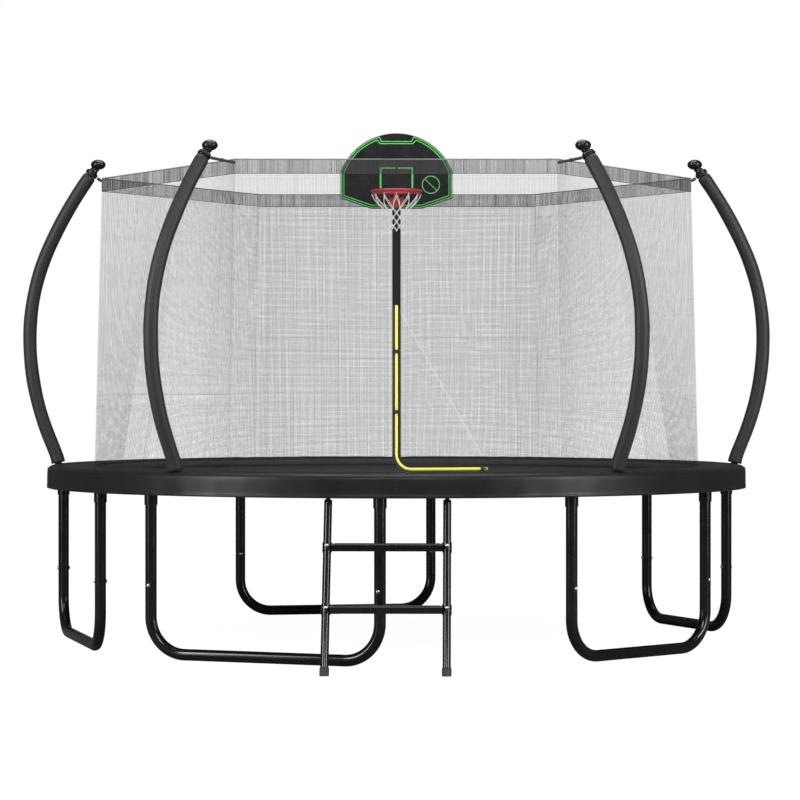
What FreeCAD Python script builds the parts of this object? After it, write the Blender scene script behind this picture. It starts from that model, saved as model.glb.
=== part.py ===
# Round trampoline with a net, a hoop and a ladder, as separate pieces in millimetres.
# The origin is on the ground under the centre of the frame ring, +Z is up, and the ladder is at -Y.
import FreeCAD, Part
import Sketcher
import math
import os
from types import SimpleNamespace
from FreeCAD import Placement, Rotation, Vector

doc = FreeCAD.newDocument("trampoline")
sheet = doc.addObject("Spreadsheet::Sheet", "Sizes")

# Driving dimensions in millimetres and degrees: name, value, what it is.
SIZES = [
    ("ring_radius", 1774, "centre line of the frame ring"),
    ("ring_height", 832, "centre line of the frame ring above the ground"),
    ("ring_tube", 50, "outside diameter of the ring tube"),
    ("tube_wall", 2, "wall of the ring, leg and pole tubes"),
    ("fit_gap", 0.3, "clearance between seated pieces, on each side"),
    ("swage_angle", 2, "angle of the reduced end that plugs into the next ring tube"),
    ("joint_offset", 2.2, "angle from a ring joint to the leg socket after it"),
    ("post_1", 7, "azimuth of a leg post, leg 1"),
    ("post_2", 37.5, "azimuth of a leg post, leg 1"),
    ("post_3", 83.5, "azimuth of a leg post, leg 2"),
    ("post_4", 120.5, "azimuth of a leg post, leg 2"),
    ("post_5", 175.5, "azimuth of a leg post, leg 3"),
    ("post_6", 214.5, "azimuth of a leg post, leg 3"),
    ("post_7", 228, "azimuth of a leg post, leg 4"),
    ("post_8", 267.5, "azimuth of a leg post, leg 4"),
    ("post_9", 298, "azimuth of a leg post, leg 5"),
    ("post_10", 330, "azimuth of a leg post, leg 5"),
    ("leg_tube", 56, "outside diameter of the leg tube"),
    ("leg_bend", 180, "centre line radius of the bends of a leg base"),
    ("leg_joint_height", 358, "bolts that join a leg base to its posts"),
    ("leg_spigot", 55, "reduced end of a leg base above its bolt"),
    ("leg_seam_drop", 14, "end of a post below its bolt"),
    ("socket_tube", 64, "outside diameter of a leg socket"),
    ("socket_bottom", 747, "lower end of a leg socket"),
    ("socket_depth", 60, "length of leg post inside its socket"),
    ("bolt_shank", 8, "diameter of the leg and tread bolts"),
    ("bolt_head", 15, "diameter of a bolt head or cap nut"),
    ("bolt_head_height", 6, "height of a bolt head or cap nut"),
    ("mat_radius", 1560, "edge of the jumping mat"),
    ("mat_height", 869, "top face of the jumping mat"),
    ("mat_thickness", 2, "thickness of the mat cloth"),
    ("spring_count", 72, "springs and V-rings"),
    ("spring_offset", 2.17, "azimuth of the first spring, which keeps all clear of the saddles and hooks"),
    ("spring_diameter", 24, "outside diameter of a spring"),
    ("hook_wire", 4, "wire of the hooks and V-rings"),
    ("vring_length", 30, "V-ring from the mat's edge to its point"),
    ("vring_width", 36, "V-ring along the mat's edge"),
    ("pad_inner_radius", 1528, "inner edge of the safety pad"),
    ("pad_radius", 1829, "outer face of the skirt"),
    ("pad_top", 912, "crown of the safety pad"),
    ("pad_bottom", 882, "underside of the safety pad"),
    ("pad_edge_drop", 8, "inner edge of the pad's top below its crown"),
    ("pad_corner", 24, "rounding of the pad's outer top edge"),
    ("pad_hole_margin", 6, "slit in the pad round a curved pole"),
    ("skirt_bottom", 795, "lower edge of the skirt"),
    ("skirt_thickness", 6, "thickness of the skirt"),
    ("pole_tube", 38, "outside diameter of a net pole"),
    ("side_pole_azimuth", 0, "foot of the right pole, and half a turn on of the left one"),
    ("front_pole_azimuth", 306.5, "foot of the front right pole, mirrored for the left one"),
    ("front_pole_turn", 11.5, "front pole's plane turned outwards from the radius"),
    ("pole_foot_radius", 1775, "centre line of a pole where it stands"),
    ("foot_bend", 320, "radius of the small outward bend above the foot"),
    ("foot_turn", 22, "angle of the small outward bend"),
    ("foot_run", 85, "straight run above the small bend"),
    ("lower_bend", 1385, "radius of the pole below its widest point"),
    ("upper_bend", 1165, "radius of the pole above its widest point"),
    ("upper_turn", 24, "angle of that bend"),
    ("tip_bend", 2200, "radius of the pole's top stretch"),
    ("tip_turn", 11.76, "angle of the top stretch"),
    ("foam_tube", 72, "outside diameter of a foam sleeve"),
    ("foam_end_turn", 0.325, "angle of bare pole under the cap"),
    ("cap_collar_radius", 33, "collar of a pole cap"),
    ("cap_collar_length", 24, "collar of a pole cap"),
    ("cap_neck_radius", 19, "neck of a pole cap"),
    ("cap_neck_length", 20, "neck of a pole cap"),
    ("cap_knob_radius", 39, "knob of a pole cap, across"),
    ("cap_knob_rise", 27, "half the height of a cap's knob"),
    ("saddle_wall", 5, "wall of a pole saddle"),
    ("saddle_depth", 12, "saddle down over the ring tube"),
    ("net_top_radius", 1552, "corners of the net's hexagon"),
    ("net_top", 2421, "top of the net's sleeve band"),
    ("band_height", 75, "sleeve band with its rods"),
    ("rod_diameter", 10, "rods in the sleeve"),
    ("net_foot_radius", 1588, "corners of the net's twelve sided foot"),
    ("net_foot_drop", 2.5, "foot of the net below the pad's crown"),
    ("net_thickness", 3, "net cloth"),
    ("net_columns", 4, "gaps across half a panel"),
    ("net_rows", 6, "gaps up a panel"),
    ("net_border", 16, "strip between two gaps of the net"),
    ("zip_top", 1712, "upper end of the zip"),
    ("zip_foot", 925.5, "horizontal run of the zip"),
    ("zip_reach", 462, "horizontal run of the zip from the corner"),
    ("zip_width", 16, "width of the zip"),
    ("zip_corner", 70, "radius of the zip's corner"),
    ("fold_cord", 1.8, "radius of the cord sewn into the flap's fold"),
    ("slider_length", 30, "zip slider with its tab"),
    ("slider_width", 14, "zip slider"),
    ("slider_height", 8, "zip slider"),
    ("buckle_high", 1485, "height of the upper buckle"),
    ("buckle_low", 1197, "height of the lower buckle"),
    ("buckle_width", 42, "buckle across the zip"),
    ("buckle_height", 18, "buckle along the zip"),
    ("buckle_thickness", 9, "buckle out of the net"),
    ("hoop_pole_tube", 50, "outside diameter of the hoop pole"),
    ("hoop_pole_top", 2640, "upper end of the hoop pole"),
    ("board_distance", 1312, "front face of the backboard from the ring's centre"),
    ("board_width", 639, "backboard"),
    ("board_top", 2764, "backboard"),
    ("board_bottom", 2335, "backboard"),
    ("board_thickness", 18, "backboard"),
    ("board_foot_width", 292, "flat lower edge of the backboard"),
    ("board_corner_low", 2395, "lower end of the backboard's upright sides"),
    ("board_corner_high", 2545, "upper end of the backboard's upright sides"),
    ("arm_width", 30, "arms from the hoop pole to the board"),
    ("arm_high", 2600, "upper arm"),
    ("arm_low", 2470, "lower arm"),
    ("rim_radius", 136, "centre line of the rim"),
    ("rim_rod", 18, "rim rod"),
    ("rim_height", 2420, "centre line of the rim"),
    ("rim_reach", 67, "gap between the backboard and the rim"),
    ("hoop_bolt_drop", 14, "middle board bolts below the rim's centre line"),
    ("back_bolt_height", 2446, "upper board bolts, which hold the back plate"),
    ("rim_plate_width", 84, "rim bracket"),
    ("rim_plate_drop", 81, "rim bracket below the rim"),
    ("rim_plate_thickness", 5, "rim bracket"),
    ("cord_net_length", 214, "cord net of the rim"),
    ("cord_net_waist_radius", 81, "cord net where it stops narrowing fast"),
    ("cord_net_foot_radius", 62, "lower end of the cord net"),
    ("cord_net_wall", 4, "cords of the rim's net"),
    ("ladder_turn", -1.33, "ladder about the ring's centre"),
    ("ladder_spacing", 558, "between the rails' centre lines"),
    ("ladder_tube", 38, "outside diameter of a rail"),
    ("ladder_foot_reach", 2180, "rail's foot from the ring's centre"),
    ("ladder_head_drop", 46, "top of a rail's tube below the ring's centre line"),
    ("ladder_head_reach", 18, "top of a rail's tube outside the ring's centre line"),
    ("hook_clearance", 3.5, "ladder hook round the ring tube"),
    ("hook_thickness", 8, "ladder hook"),
    ("hook_width", 20, "ladder hook along the ring"),
    ("tread_low", 291, "lower tread"),
    ("tread_high", 570, "upper tread"),
    ("tread_height", 35, "tread"),
    ("tread_depth", 62, "tread"),
    ("tread_wall", 3, "tread"),
    ("foot_cap_length", 37, "rubber foot of a rail"),
    ("foot_cap_wall", 3, "rubber foot of a rail"),
]

for row, (alias, number, note) in enumerate(SIZES, start=1):
    sheet.set(f"A{row}", note)
    sheet.set(f"B{row}", str(number))
    sheet.setAlias(f"B{row}", alias)
doc.recompute()
S = SimpleNamespace(**{alias: float(sheet.get(alias)) for alias, number, note in SIZES})

UP = Vector(0, 0, 1)
POSTS = 10
LEGS = POSTS // 2
nodes = []


def keep(piece, label):
    """Name a finished piece after its file."""
    piece.Label = label
    nodes.append(piece)
    return piece


def polar(radius, azimuth, height=0.0):
    turn = math.radians(azimuth)
    return Vector(radius * math.cos(turn), radius * math.sin(turn), height)


def post_azimuth(index):
    """Azimuth of a leg post, counted on past the last one."""
    lap, place = divmod(index, POSTS)
    return getattr(S, f"post_{place + 1}") + 360 * lap


def along(point, direction):
    """A placement whose Z runs along a direction."""
    return Placement(point, Rotation(UP, direction))


def primitive(kind, place, **sizes):
    """A Part primitive whose sizes are expressions of the sheet."""
    piece = doc.addObject(f"Part::{kind}", kind)
    for name, text in sizes.items():
        piece.setExpression(name, text)
    piece.Placement = place
    return piece


def rod(place, radius, length):
    return primitive("Cylinder", place, Radius=radius, Height=length)


def box(place, length, width, height):
    return primitive("Box", place, Length=length, Width=width, Height=height)


def at(x, y, z):
    return Placement(Vector(x, y, z), Rotation())


def bend(place, bend_radius, tube_radius, angle):
    """A bent stretch of round bar, from local +X round local Z."""
    return primitive("Torus", place, Radius1=bend_radius, Radius2=tube_radius, Angle3=angle)


def fuse(pieces):
    piece = doc.addObject("Part::MultiFuse", "Fuse")
    piece.Shapes = pieces
    return piece


def cut(base, tool):
    piece = doc.addObject("Part::Cut", "Cut")
    piece.Base = base
    piece.Tool = tool
    return piece


def group(pieces):
    """Separate solids that share one node."""
    piece = doc.addObject("Part::Compound", "Group")
    piece.Links = pieces
    return piece


def feature(shape, label):
    """A piece whose shape is worked out from the sheet's values."""
    piece = doc.addObject("Part::Feature", label)
    piece.Shape = shape
    return keep(piece, label)


def sketch(body, plane_role, offset=0.0):
    plane = next(f for f in body.Origin.OriginFeatures if f.Role == plane_role)
    drawing = body.newObject("Sketcher::SketchObject", "Sketch")
    drawing.AttachmentSupport = [(plane, "")]
    drawing.MapMode = "FlatFace"
    drawing.AttachmentOffset = Placement(Vector(0, 0, offset), Rotation())
    return drawing


def outline(drawing, corners, arcs=()):
    """A closed outline whose corners are held by expressions of the sheet: (x, x text, y, y text).

    arcs gives (edge, radius, radius text): that edge is an arc which bulges to the right of its run.
    """
    count = len(corners)
    points = [Vector(x, y, 0) for x, x_text, y, y_text in corners]
    bulging = {edge: (radius, text) for edge, radius, text in arcs}
    for index in range(count):
        start, end = points[index], points[(index + 1) % count]
        if index in bulging:
            radius = bulging[index][0]
            chord = end - start
            aside = Vector(chord.y, -chord.x, 0).normalize()
            sag = radius - math.sqrt(radius ** 2 - (chord.Length / 2) ** 2)
            edge = Part.Arc(start, (start + end) / 2 + aside * sag, end)
        else:
            edge = Part.LineSegment(start, end)
        drawing.addGeometry(edge, False)
    ends = []
    for index in range(count):
        start = drawing.Geometry[index].StartPoint
        turned = index in bulging and start.distanceToPoint(points[index]) > S.fit_gap
        ends.append((2, 1) if turned else (1, 2))
    for index in range(count):
        after = (index + 1) % count
        meet = Sketcher.Constraint("Coincident", index, ends[index][1], after, ends[after][0])
        drawing.addConstraint(meet)
    for index, (x, x_text, y, y_text) in enumerate(corners):
        for kind, number, text in (("DistanceX", x, x_text), ("DistanceY", y, y_text)):
            held = drawing.addConstraint(Sketcher.Constraint(kind, -1, 1, index, ends[index][0], number))
            drawing.setExpression(f"Constraints[{held}]", text)
    for edge, (radius, text) in bulging.items():
        held = drawing.addConstraint(Sketcher.Constraint("Radius", edge, radius))
        drawing.setExpression(f"Constraints[{held}]", text)
    return drawing


def ring_segment(index):
    """One curved ring tube with the leg socket welded under its first end."""
    start = post_azimuth(index) - S.joint_offset
    here, after = f"Sizes.post_{index + 1}", f"Sizes.post_{(index + 1) % POSTS + 1}"
    lap = " + 360" if index + 1 == POSTS else ""
    span = f"{after}{lap} - {here}"
    end = post_azimuth(index + 1) - S.joint_offset
    origin = Vector(0, 0, S.ring_height)
    tube = Placement(origin, Rotation(UP, start))
    plug = Placement(origin, Rotation(UP, end - S.swage_angle))
    radius, outer = "Sizes.ring_radius", "Sizes.ring_tube / 2"
    bore = "Sizes.ring_tube / 2 - Sizes.tube_wall"
    foot = polar(S.ring_radius, post_azimuth(index), S.socket_bottom)
    socket_radius = "Sizes.socket_tube / 2"
    socket_bore = "Sizes.leg_tube / 2 + Sizes.fit_gap"
    outside = fuse([
        bend(tube, radius, outer, span),
        rod(Placement(foot, Rotation()), socket_radius, "Sizes.ring_height - Sizes.socket_bottom"),
    ])
    inside = fuse([
        bend(tube, radius, bore, span),
        rod(Placement(foot, Rotation()), socket_bore, "Sizes.socket_depth + Sizes.fit_gap"),
    ])
    plug_out = bend(plug, radius, f"{bore} - Sizes.fit_gap", "2 * Sizes.swage_angle")
    plug_in = bend(plug, radius, f"{bore} - Sizes.fit_gap - Sizes.tube_wall", "2 * Sizes.swage_angle")
    shoulder_out = bend(plug, radius, f"{bore} + Sizes.tube_wall / 2", "Sizes.swage_angle")
    shoulder_in = bend(plug, radius, f"{bore} - Sizes.fit_gap - Sizes.tube_wall", "Sizes.swage_angle")
    shell = fuse([cut(outside, inside), cut(plug_out, plug_in), cut(shoulder_out, shoulder_in)])
    return keep(shell, f"ring_segment_{index + 1}")


def bolt_tool(index, clearance):
    """A cylinder on the axis of a leg bolt, square to the leg's plane."""
    leg = index // 2
    middle = (post_azimuth(2 * leg) + post_azimuth(2 * leg + 1)) / 2
    outward = polar(1, middle)
    centre = polar(S.ring_radius, post_azimuth(index), S.leg_joint_height)
    reach = S.leg_tube / 2
    place = along(centre - outward * reach, outward)
    return rod(place, f"Sizes.bolt_shank / 2 + {clearance}", "Sizes.leg_tube")


def leg_base(leg):
    """The U-shaped lower tube of one leg, with reduced ends that plug into its posts."""
    first, second = post_azimuth(2 * leg), post_azimuth(2 * leg + 1)
    middle, half = (first + second) / 2, (second - first) / 2
    half_chord = S.ring_radius * math.sin(math.radians(half))
    turn = Rotation(UP, middle + 90)
    seat = Placement(polar(S.ring_radius * math.cos(math.radians(half)), middle), turn)
    chord = f"2 * Sizes.ring_radius * sin((Sizes.post_{2 * leg + 2} - Sizes.post_{2 * leg + 1}) / 2)"
    low = S.leg_tube / 2
    straight = ("Sizes.leg_joint_height - Sizes.leg_seam_drop - Sizes.fit_gap"
                " - Sizes.leg_tube / 2 - Sizes.leg_bend")
    pieces = {}
    for kind, radius in (("out", "Sizes.leg_tube / 2"), ("in", "Sizes.leg_tube / 2 - Sizes.tube_wall")):
        bars = []
        for side in (-1, 1):
            centre = Vector(side * (half_chord - S.leg_bend), 0, low + S.leg_bend)
            turned = 180 if side < 0 else 270
            corner = Placement(centre, Rotation(Vector(1, 0, 0), 90) * Rotation(UP, turned))
            upright = Placement(Vector(side * half_chord, 0, low + S.leg_bend), Rotation())
            bars.append(bend(seat * corner, "Sizes.leg_bend", radius, "90"))
            bars.append(rod(seat * upright, radius, straight))
        flat_run = Placement(Vector(-(half_chord - S.leg_bend), 0, low), Rotation(UP, Vector(1, 0, 0)))
        bars.append(rod(seat * flat_run, radius, f"{chord} - 2 * Sizes.leg_bend"))
        pieces[kind] = fuse(bars)
    tube = cut(pieces["out"], pieces["in"])
    ends = []
    for side in (-1, 1):
        foot = Vector(side * half_chord, 0, S.leg_joint_height - S.leg_seam_drop - 3 * S.leg_spigot / 5)
        place = seat * Placement(foot, Rotation())
        length = "Sizes.leg_seam_drop + 8 * Sizes.leg_spigot / 5"
        spigot = "Sizes.leg_tube / 2 - Sizes.tube_wall - Sizes.fit_gap"
        ends.append(cut(rod(place, spigot, length), rod(place, f"{spigot} - Sizes.tube_wall", length)))
        collar = "Sizes.leg_tube / 2 - Sizes.tube_wall / 2"
        short = "3 * Sizes.leg_spigot / 5 - Sizes.fit_gap"
        ends.append(cut(rod(place, collar, short), rod(place, f"{spigot} - Sizes.tube_wall", short)))
    whole = fuse([tube] + ends)
    holes = fuse([bolt_tool(2 * leg, "Sizes.fit_gap"), bolt_tool(2 * leg + 1, "Sizes.fit_gap")])
    return keep(cut(whole, holes), f"leg_base_{leg + 1}")


def leg_posts():
    """The ten upright tubes between the leg bases and the sockets."""
    posts = []
    foot = S.leg_joint_height - S.leg_seam_drop
    top = "Sizes.socket_bottom + Sizes.socket_depth"
    length = f"{top} - Sizes.leg_joint_height + Sizes.leg_seam_drop"
    for index in range(POSTS):
        place = Placement(polar(S.ring_radius, post_azimuth(index), foot), Rotation())
        bore = rod(place, "Sizes.leg_tube / 2 - Sizes.tube_wall", length)
        tube = cut(rod(place, "Sizes.leg_tube / 2", length), bore)
        posts.append(cut(tube, bolt_tool(index, "Sizes.fit_gap")))
    return keep(group(posts), "leg_posts")


def leg_bolts():
    """A bolt with its head and cap nut through each leg joint."""
    bolts = []
    for index in range(POSTS):
        leg = index // 2
        outward = polar(1, (post_azimuth(2 * leg) + post_azimuth(2 * leg + 1)) / 2)
        centre = polar(S.ring_radius, post_azimuth(index), S.leg_joint_height)
        reach = S.leg_tube / 2 + S.fit_gap
        head, nut = centre + outward * reach, centre - outward * reach
        bolts.append(fuse([
            rod(along(nut, outward), "Sizes.bolt_shank / 2", "Sizes.leg_tube + 2 * Sizes.fit_gap"),
            rod(along(head, outward), "Sizes.bolt_head / 2", "Sizes.bolt_head_height"),
            rod(along(nut, -outward), "Sizes.bolt_head / 2", "Sizes.bolt_head_height"),
        ]))
    return keep(group(bolts), "leg_bolts")


for number in range(POSTS):
    ring_segment(number)
for number in range(LEGS):
    leg_base(number)
leg_posts()
leg_bolts()


def jumping_mat():
    """The mat as one cloth disc."""
    place = Placement(Vector(0, 0, S.mat_height - S.mat_thickness), Rotation())
    return keep(rod(place, "Sizes.mat_radius", "Sizes.mat_thickness"), "mat")


def spring_azimuths():
    count = int(round(S.spring_count))
    return [S.spring_offset + 360 * index / count for index in range(count)]


def copies_round_the_ring(shape, azimuths):
    """Copies of a shape drawn at azimuth 0, turned about the ring's axis."""
    turned = []
    for azimuth in azimuths:
        copy = shape.copy()
        copy.rotate(Vector(), UP, azimuth)
        turned.append(copy)
    return Part.makeCompound(turned)


def mat_rings():
    """The triangular wire rings along the mat's edge."""
    middle = S.mat_height - S.mat_thickness / 2
    inner = S.mat_radius + S.fit_gap
    half = S.vring_width / 2
    wire = S.hook_wire

    def triangle(margin):
        low, high = inner + margin, inner + S.vring_length - 1.8 * margin
        reach = half - 1.6 * margin
        corners = [Vector(low, -reach, 0), Vector(low, reach, 0), Vector(high, 0, 0)]
        return Part.Face(Part.makePolygon(corners + corners[:1]))

    plate = triangle(0).extrude(UP * wire).cut(triangle(wire).extrude(UP * wire))
    plate.translate(Vector(0, 0, middle - wire / 2))
    return feature(copies_round_the_ring(plate, spring_azimuths()), "mat_rings")


def springs():
    """A spring from each V-ring to the ring tube: a coil body between two straight hooks."""
    rise = S.ring_tube / 2 * 0.7
    depth = math.sqrt((S.ring_tube / 2) ** 2 - (rise - S.hook_wire / 2) ** 2)
    start = Vector(S.mat_radius + S.vring_length + 2 * S.fit_gap, 0, S.mat_height - S.mat_thickness / 2)
    end = Vector(S.ring_radius - depth - 2 * S.fit_gap, 0, S.ring_height + rise)
    run = end - start
    direction = Vector(run).normalize()
    coil_start = start + run * 0.1
    hook = Part.makeCylinder(S.hook_wire / 2, run.Length, start, direction)
    coil = Part.makeCylinder(S.spring_diameter / 2, run.Length * 0.8, coil_start, direction)
    return feature(copies_round_the_ring(coil.fuse(hook), spring_azimuths()), "springs")


def pole_azimuths():
    """Foot azimuth and plane direction of each curved pole, then its number."""
    side, front = S.side_pole_azimuth, S.front_pole_azimuth
    turn = S.front_pole_turn
    return [
        (side, side),
        (180 - side, 180 - side),
        (180 - front, 180 - front - turn),
        (front, front + turn),
    ]


def safety_pad():
    """The padded ring over the springs, with a skirt outside and a hole for each pole."""
    body = doc.addObject("PartDesign::Body", "Body")
    drawing = sketch(body, "XZ_Plane")
    inner, outer = "Sizes.pad_inner_radius", "Sizes.pad_radius"
    top, bottom, drop = "Sizes.pad_top", "Sizes.pad_bottom", "Sizes.pad_edge_drop"
    corner, skin = "Sizes.pad_corner", "Sizes.skirt_thickness"
    crown = (S.pad_inner_radius + S.pad_radius) / 2
    skirt_inside = S.pad_radius - S.skirt_thickness
    edge_height = S.pad_top - S.pad_edge_drop - S.pad_bottom
    crown_run = crown - S.pad_inner_radius
    crown_radius = (crown_run ** 2 + S.pad_edge_drop ** 2) / (2 * S.pad_edge_drop)
    run_text = f"(({outer} - {inner}) / 2)"
    outline(drawing, [
        (skirt_inside, f"{outer} - {skin}", S.skirt_bottom, "Sizes.skirt_bottom"),
        (S.pad_radius, outer, S.skirt_bottom, "Sizes.skirt_bottom"),
        (S.pad_radius, outer, S.pad_top - S.pad_corner, f"{top} - {corner}"),
        (S.pad_radius - S.pad_corner, f"{outer} - {corner}", S.pad_top, top),
        (crown, f"({inner} + {outer}) / 2", S.pad_top, top),
        (S.pad_inner_radius, inner, S.pad_top - S.pad_edge_drop, f"{top} - {drop}"),
        (S.pad_inner_radius, inner, S.pad_bottom, bottom),
        (skirt_inside, f"{outer} - {skin}", S.pad_bottom, bottom),
    ], arcs=[
        (2, S.pad_corner, corner),
        (4, crown_radius, f"({run_text}^2 + {drop}^2) / (2 * {drop})"),
        (5, 0.6 * edge_height, f"0.6 * ({top} - {drop} - {bottom})"),
    ])
    doc.recompute()
    turned = body.newObject("PartDesign::Revolution", "Revolution")
    turned.Profile = drawing
    turned.ReferenceAxis = (drawing, ["V_Axis"])
    turned.Angle = 360
    holes = []
    low = S.pad_bottom - S.fit_gap
    length = "Sizes.pad_top - Sizes.pad_bottom + Sizes.pad_edge_drop"
    for azimuth, _ in pole_azimuths():
        foot = polar(S.pole_foot_radius, azimuth, low)
        radius = "Sizes.pole_tube / 2 + Sizes.pad_hole_margin"
        holes.append(rod(Placement(foot, Rotation()), radius, length))
    foot = polar(S.pole_foot_radius, 90, low)
    holes.append(rod(Placement(foot, Rotation()), "Sizes.hoop_pole_tube / 2 + 4 * Sizes.fit_gap", length))
    return keep(cut(body, fuse(holes)), "safety_pad")


def turn_path(start, heading, stretches):
    """Edges through straight runs and arcs in the XZ plane: (length, 0) or (radius, degrees).

    A heading of 0 points up, and a positive turn leans towards +X.
    """
    point, edges = Vector(start), []
    for size, turn in stretches:
        ahead = Vector(math.sin(math.radians(heading)), 0, math.cos(math.radians(heading)))
        if turn == 0:
            after = point + ahead * size
            edges.append(Part.LineSegment(point, after).toShape())
        else:
            side = Vector(ahead.z, 0, -ahead.x) * (1 if turn > 0 else -1)
            centre = point + side * size
            spots = []
            for share in (0.5, 1):
                angle = math.radians(turn * share)
                reach = point - centre
                cosine, sine = math.cos(angle), math.sin(angle)
                across = reach.x * cosine + reach.z * sine
                spots.append(centre + Vector(across, 0, reach.z * cosine - reach.x * sine))
            after = spots[1]
            edges.append(Part.Arc(point, spots[0], after).toShape())
        point, heading = after, heading + turn
    return edges, point, heading


def pole_stretches():
    """The pole's centre line from its foot up: the runs below and above its widest point."""
    below = [(S.foot_bend, S.foot_turn), (S.foot_run, 0), (S.lower_bend, -S.foot_turn)]
    above = [(S.upper_bend, -S.upper_turn), (S.tip_bend, -S.tip_turn)]
    return below, above


def pole_foot():
    """The height at which a pole stands on its saddle, in its own plane."""
    return Vector(0, 0, S.ring_height + S.ring_tube / 2 + 2 * S.fit_gap)


def sweep_tube(edges, radius, wall, place):
    """A tube along edges, as an outer sweep with an inner sweep cut out."""
    path = doc.addObject("Part::Feature", "Path")
    path.Shape = Part.Wire(edges)
    sweeps = []
    start = edges[0].valueAt(edges[0].FirstParameter)
    ahead = edges[0].tangentAt(edges[0].FirstParameter)
    for circle_radius in (radius, f"{radius} - ({wall})"):
        circle = doc.addObject("Part::Circle", "Circle")
        circle.setExpression("Radius", circle_radius)
        circle.Placement = along(start, ahead)
        tube = doc.addObject("Part::Sweep", "Sweep")
        tube.Sections = [circle]
        tube.Spine = (path, [f"Edge{number + 1}" for number in range(len(edges))])
        tube.Solid = True
        tube.Frenet = False
        sweeps.append(tube)
    piece = cut(*sweeps)
    piece.Placement = place
    return piece


def curved_pole(number, azimuth, direction):
    """One net pole of two tubes, its foam sleeve and its cap; returns the end of its centre line."""
    place = Placement(polar(S.pole_foot_radius, azimuth), Rotation(UP, direction))
    below, above = pole_stretches()
    low_edges, widest, heading = turn_path(pole_foot(), 0, below)
    high_edges, tip, heading = turn_path(widest, heading, above)
    pole_radius = "Sizes.pole_tube / 2"
    halves = [
        sweep_tube(low_edges, pole_radius, "Sizes.tube_wall", place),
        sweep_tube(high_edges, pole_radius, "Sizes.tube_wall", place),
    ]
    keep(group(halves), f"pole_{number}")
    rise = S.pad_top - pole_foot().z - S.foam_tube / 4
    hidden = math.degrees(math.asin(rise / S.foot_bend))
    buried, sleeve_start, lean = turn_path(pole_foot(), 0, [(S.foot_bend, hidden)])
    stretches = [(S.foot_bend, S.foot_turn - hidden)] + below[1:] + above[:1]
    stretches.append((S.tip_bend, -(S.tip_turn - S.foam_end_turn)))
    sleeve_edges, sleeve_end, lean = turn_path(sleeve_start, lean, stretches)
    wall = "(Sizes.foam_tube - Sizes.pole_tube) / 2 - Sizes.fit_gap"
    sleeve = sweep_tube(sleeve_edges, "Sizes.foam_tube / 2", wall, place)
    below_pad = place.multiply(at(-S.foam_tube, -S.foam_tube, 0))
    side = "2 * Sizes.foam_tube"
    under = box(below_pad, side, side, "Sizes.pad_top + Sizes.fit_gap")
    keep(cut(sleeve, under), f"foam_sleeve_{number}")
    ahead = Vector(math.sin(math.radians(heading)), 0, math.cos(math.radians(heading)))
    cap_axis = place.Rotation.multVec(ahead)
    seat = place.multVec(tip) + cap_axis * S.fit_gap
    neck = seat + cap_axis * S.cap_collar_length / 2
    centre = neck + cap_axis * (S.cap_neck_length + S.cap_knob_rise)
    knob = primitive("Ellipsoid", along(centre, cap_axis), Radius1="Sizes.cap_knob_rise",
                     Radius2="Sizes.cap_knob_radius")
    waist = primitive("Cone", along(neck, cap_axis), Radius1="Sizes.cap_collar_radius * 0.8",
                      Radius2="Sizes.cap_neck_radius", Height="Sizes.cap_neck_length")
    core = rod(along(neck, cap_axis), "Sizes.cap_neck_radius",
               "Sizes.cap_neck_length + Sizes.cap_knob_rise / 2")
    collar_foot = seat - cap_axis * S.cap_collar_length / 2
    collar = rod(along(collar_foot, cap_axis), "Sizes.cap_collar_radius", "Sizes.cap_collar_length")
    socket = rod(along(collar_foot, cap_axis), "Sizes.pole_tube / 2 + 4 * Sizes.fit_gap",
                 "Sizes.cap_collar_length / 2")
    keep(cut(fuse([collar, waist, core, knob]), socket), f"pole_cap_{number}")
    return seat, cap_axis


def pole_saddles():
    """The cups that stand the poles on the ring tube, cut to fit over it."""
    ring = bend(Placement(Vector(0, 0, S.ring_height), Rotation()), "Sizes.ring_radius",
                "Sizes.ring_tube / 2 + Sizes.fit_gap", "360")
    cups = []
    feet = [(azimuth, "Sizes.pole_tube") for azimuth, _ in pole_azimuths()]
    feet.append((90, "Sizes.hoop_pole_tube"))
    low = S.ring_height + S.ring_tube / 2 - S.saddle_depth
    height = ("Sizes.pad_bottom - Sizes.fit_gap - Sizes.ring_height"
              " - Sizes.ring_tube / 2 + Sizes.saddle_depth")
    for azimuth, tube in feet:
        base = Placement(polar(S.pole_foot_radius, azimuth, low), Rotation())
        outer = rod(base, f"{tube} / 2 + 4 * Sizes.fit_gap + Sizes.saddle_wall", height)
        bore = rod(base, f"{tube} / 2 + 4 * Sizes.fit_gap", "Sizes.saddle_depth + Sizes.pad_bottom")
        cups.append(cut(outer, fuse([bore, ring])))
    return keep(group(cups), "pole_saddles")


def net_top_corner(index):
    return polar(S.net_top_radius, 60 * index, S.net_top - S.band_height)


def net_foot_corner(index):
    """Corners of the net's twelve sided foot, 30 degrees apart."""
    return polar(S.net_foot_radius, 30 * index, S.pad_top - S.net_foot_drop)


def net_point(panel, across, up):
    """A point of a net panel: across runs from -1 to 1, and up from 0 at the foot to 1 at the band."""
    left, right = net_top_corner(panel), net_top_corner(panel + 1)
    middle = (left + right) / 2
    foot_middle = net_foot_corner(2 * panel + 1)
    side_top = right if across > 0 else left
    side_foot = net_foot_corner(2 * panel + 2) if across > 0 else net_foot_corner(2 * panel)
    share = abs(across)
    top = middle + (side_top - middle) * share
    foot = foot_middle + (side_foot - foot_middle) * share
    return foot + (top - foot) * up


def panel_axes(panel):
    """Unit vectors across a panel and out of it."""
    outward = polar(1, 60 * panel + 30)
    return Vector(-outward.y, outward.x, 0), outward


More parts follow.
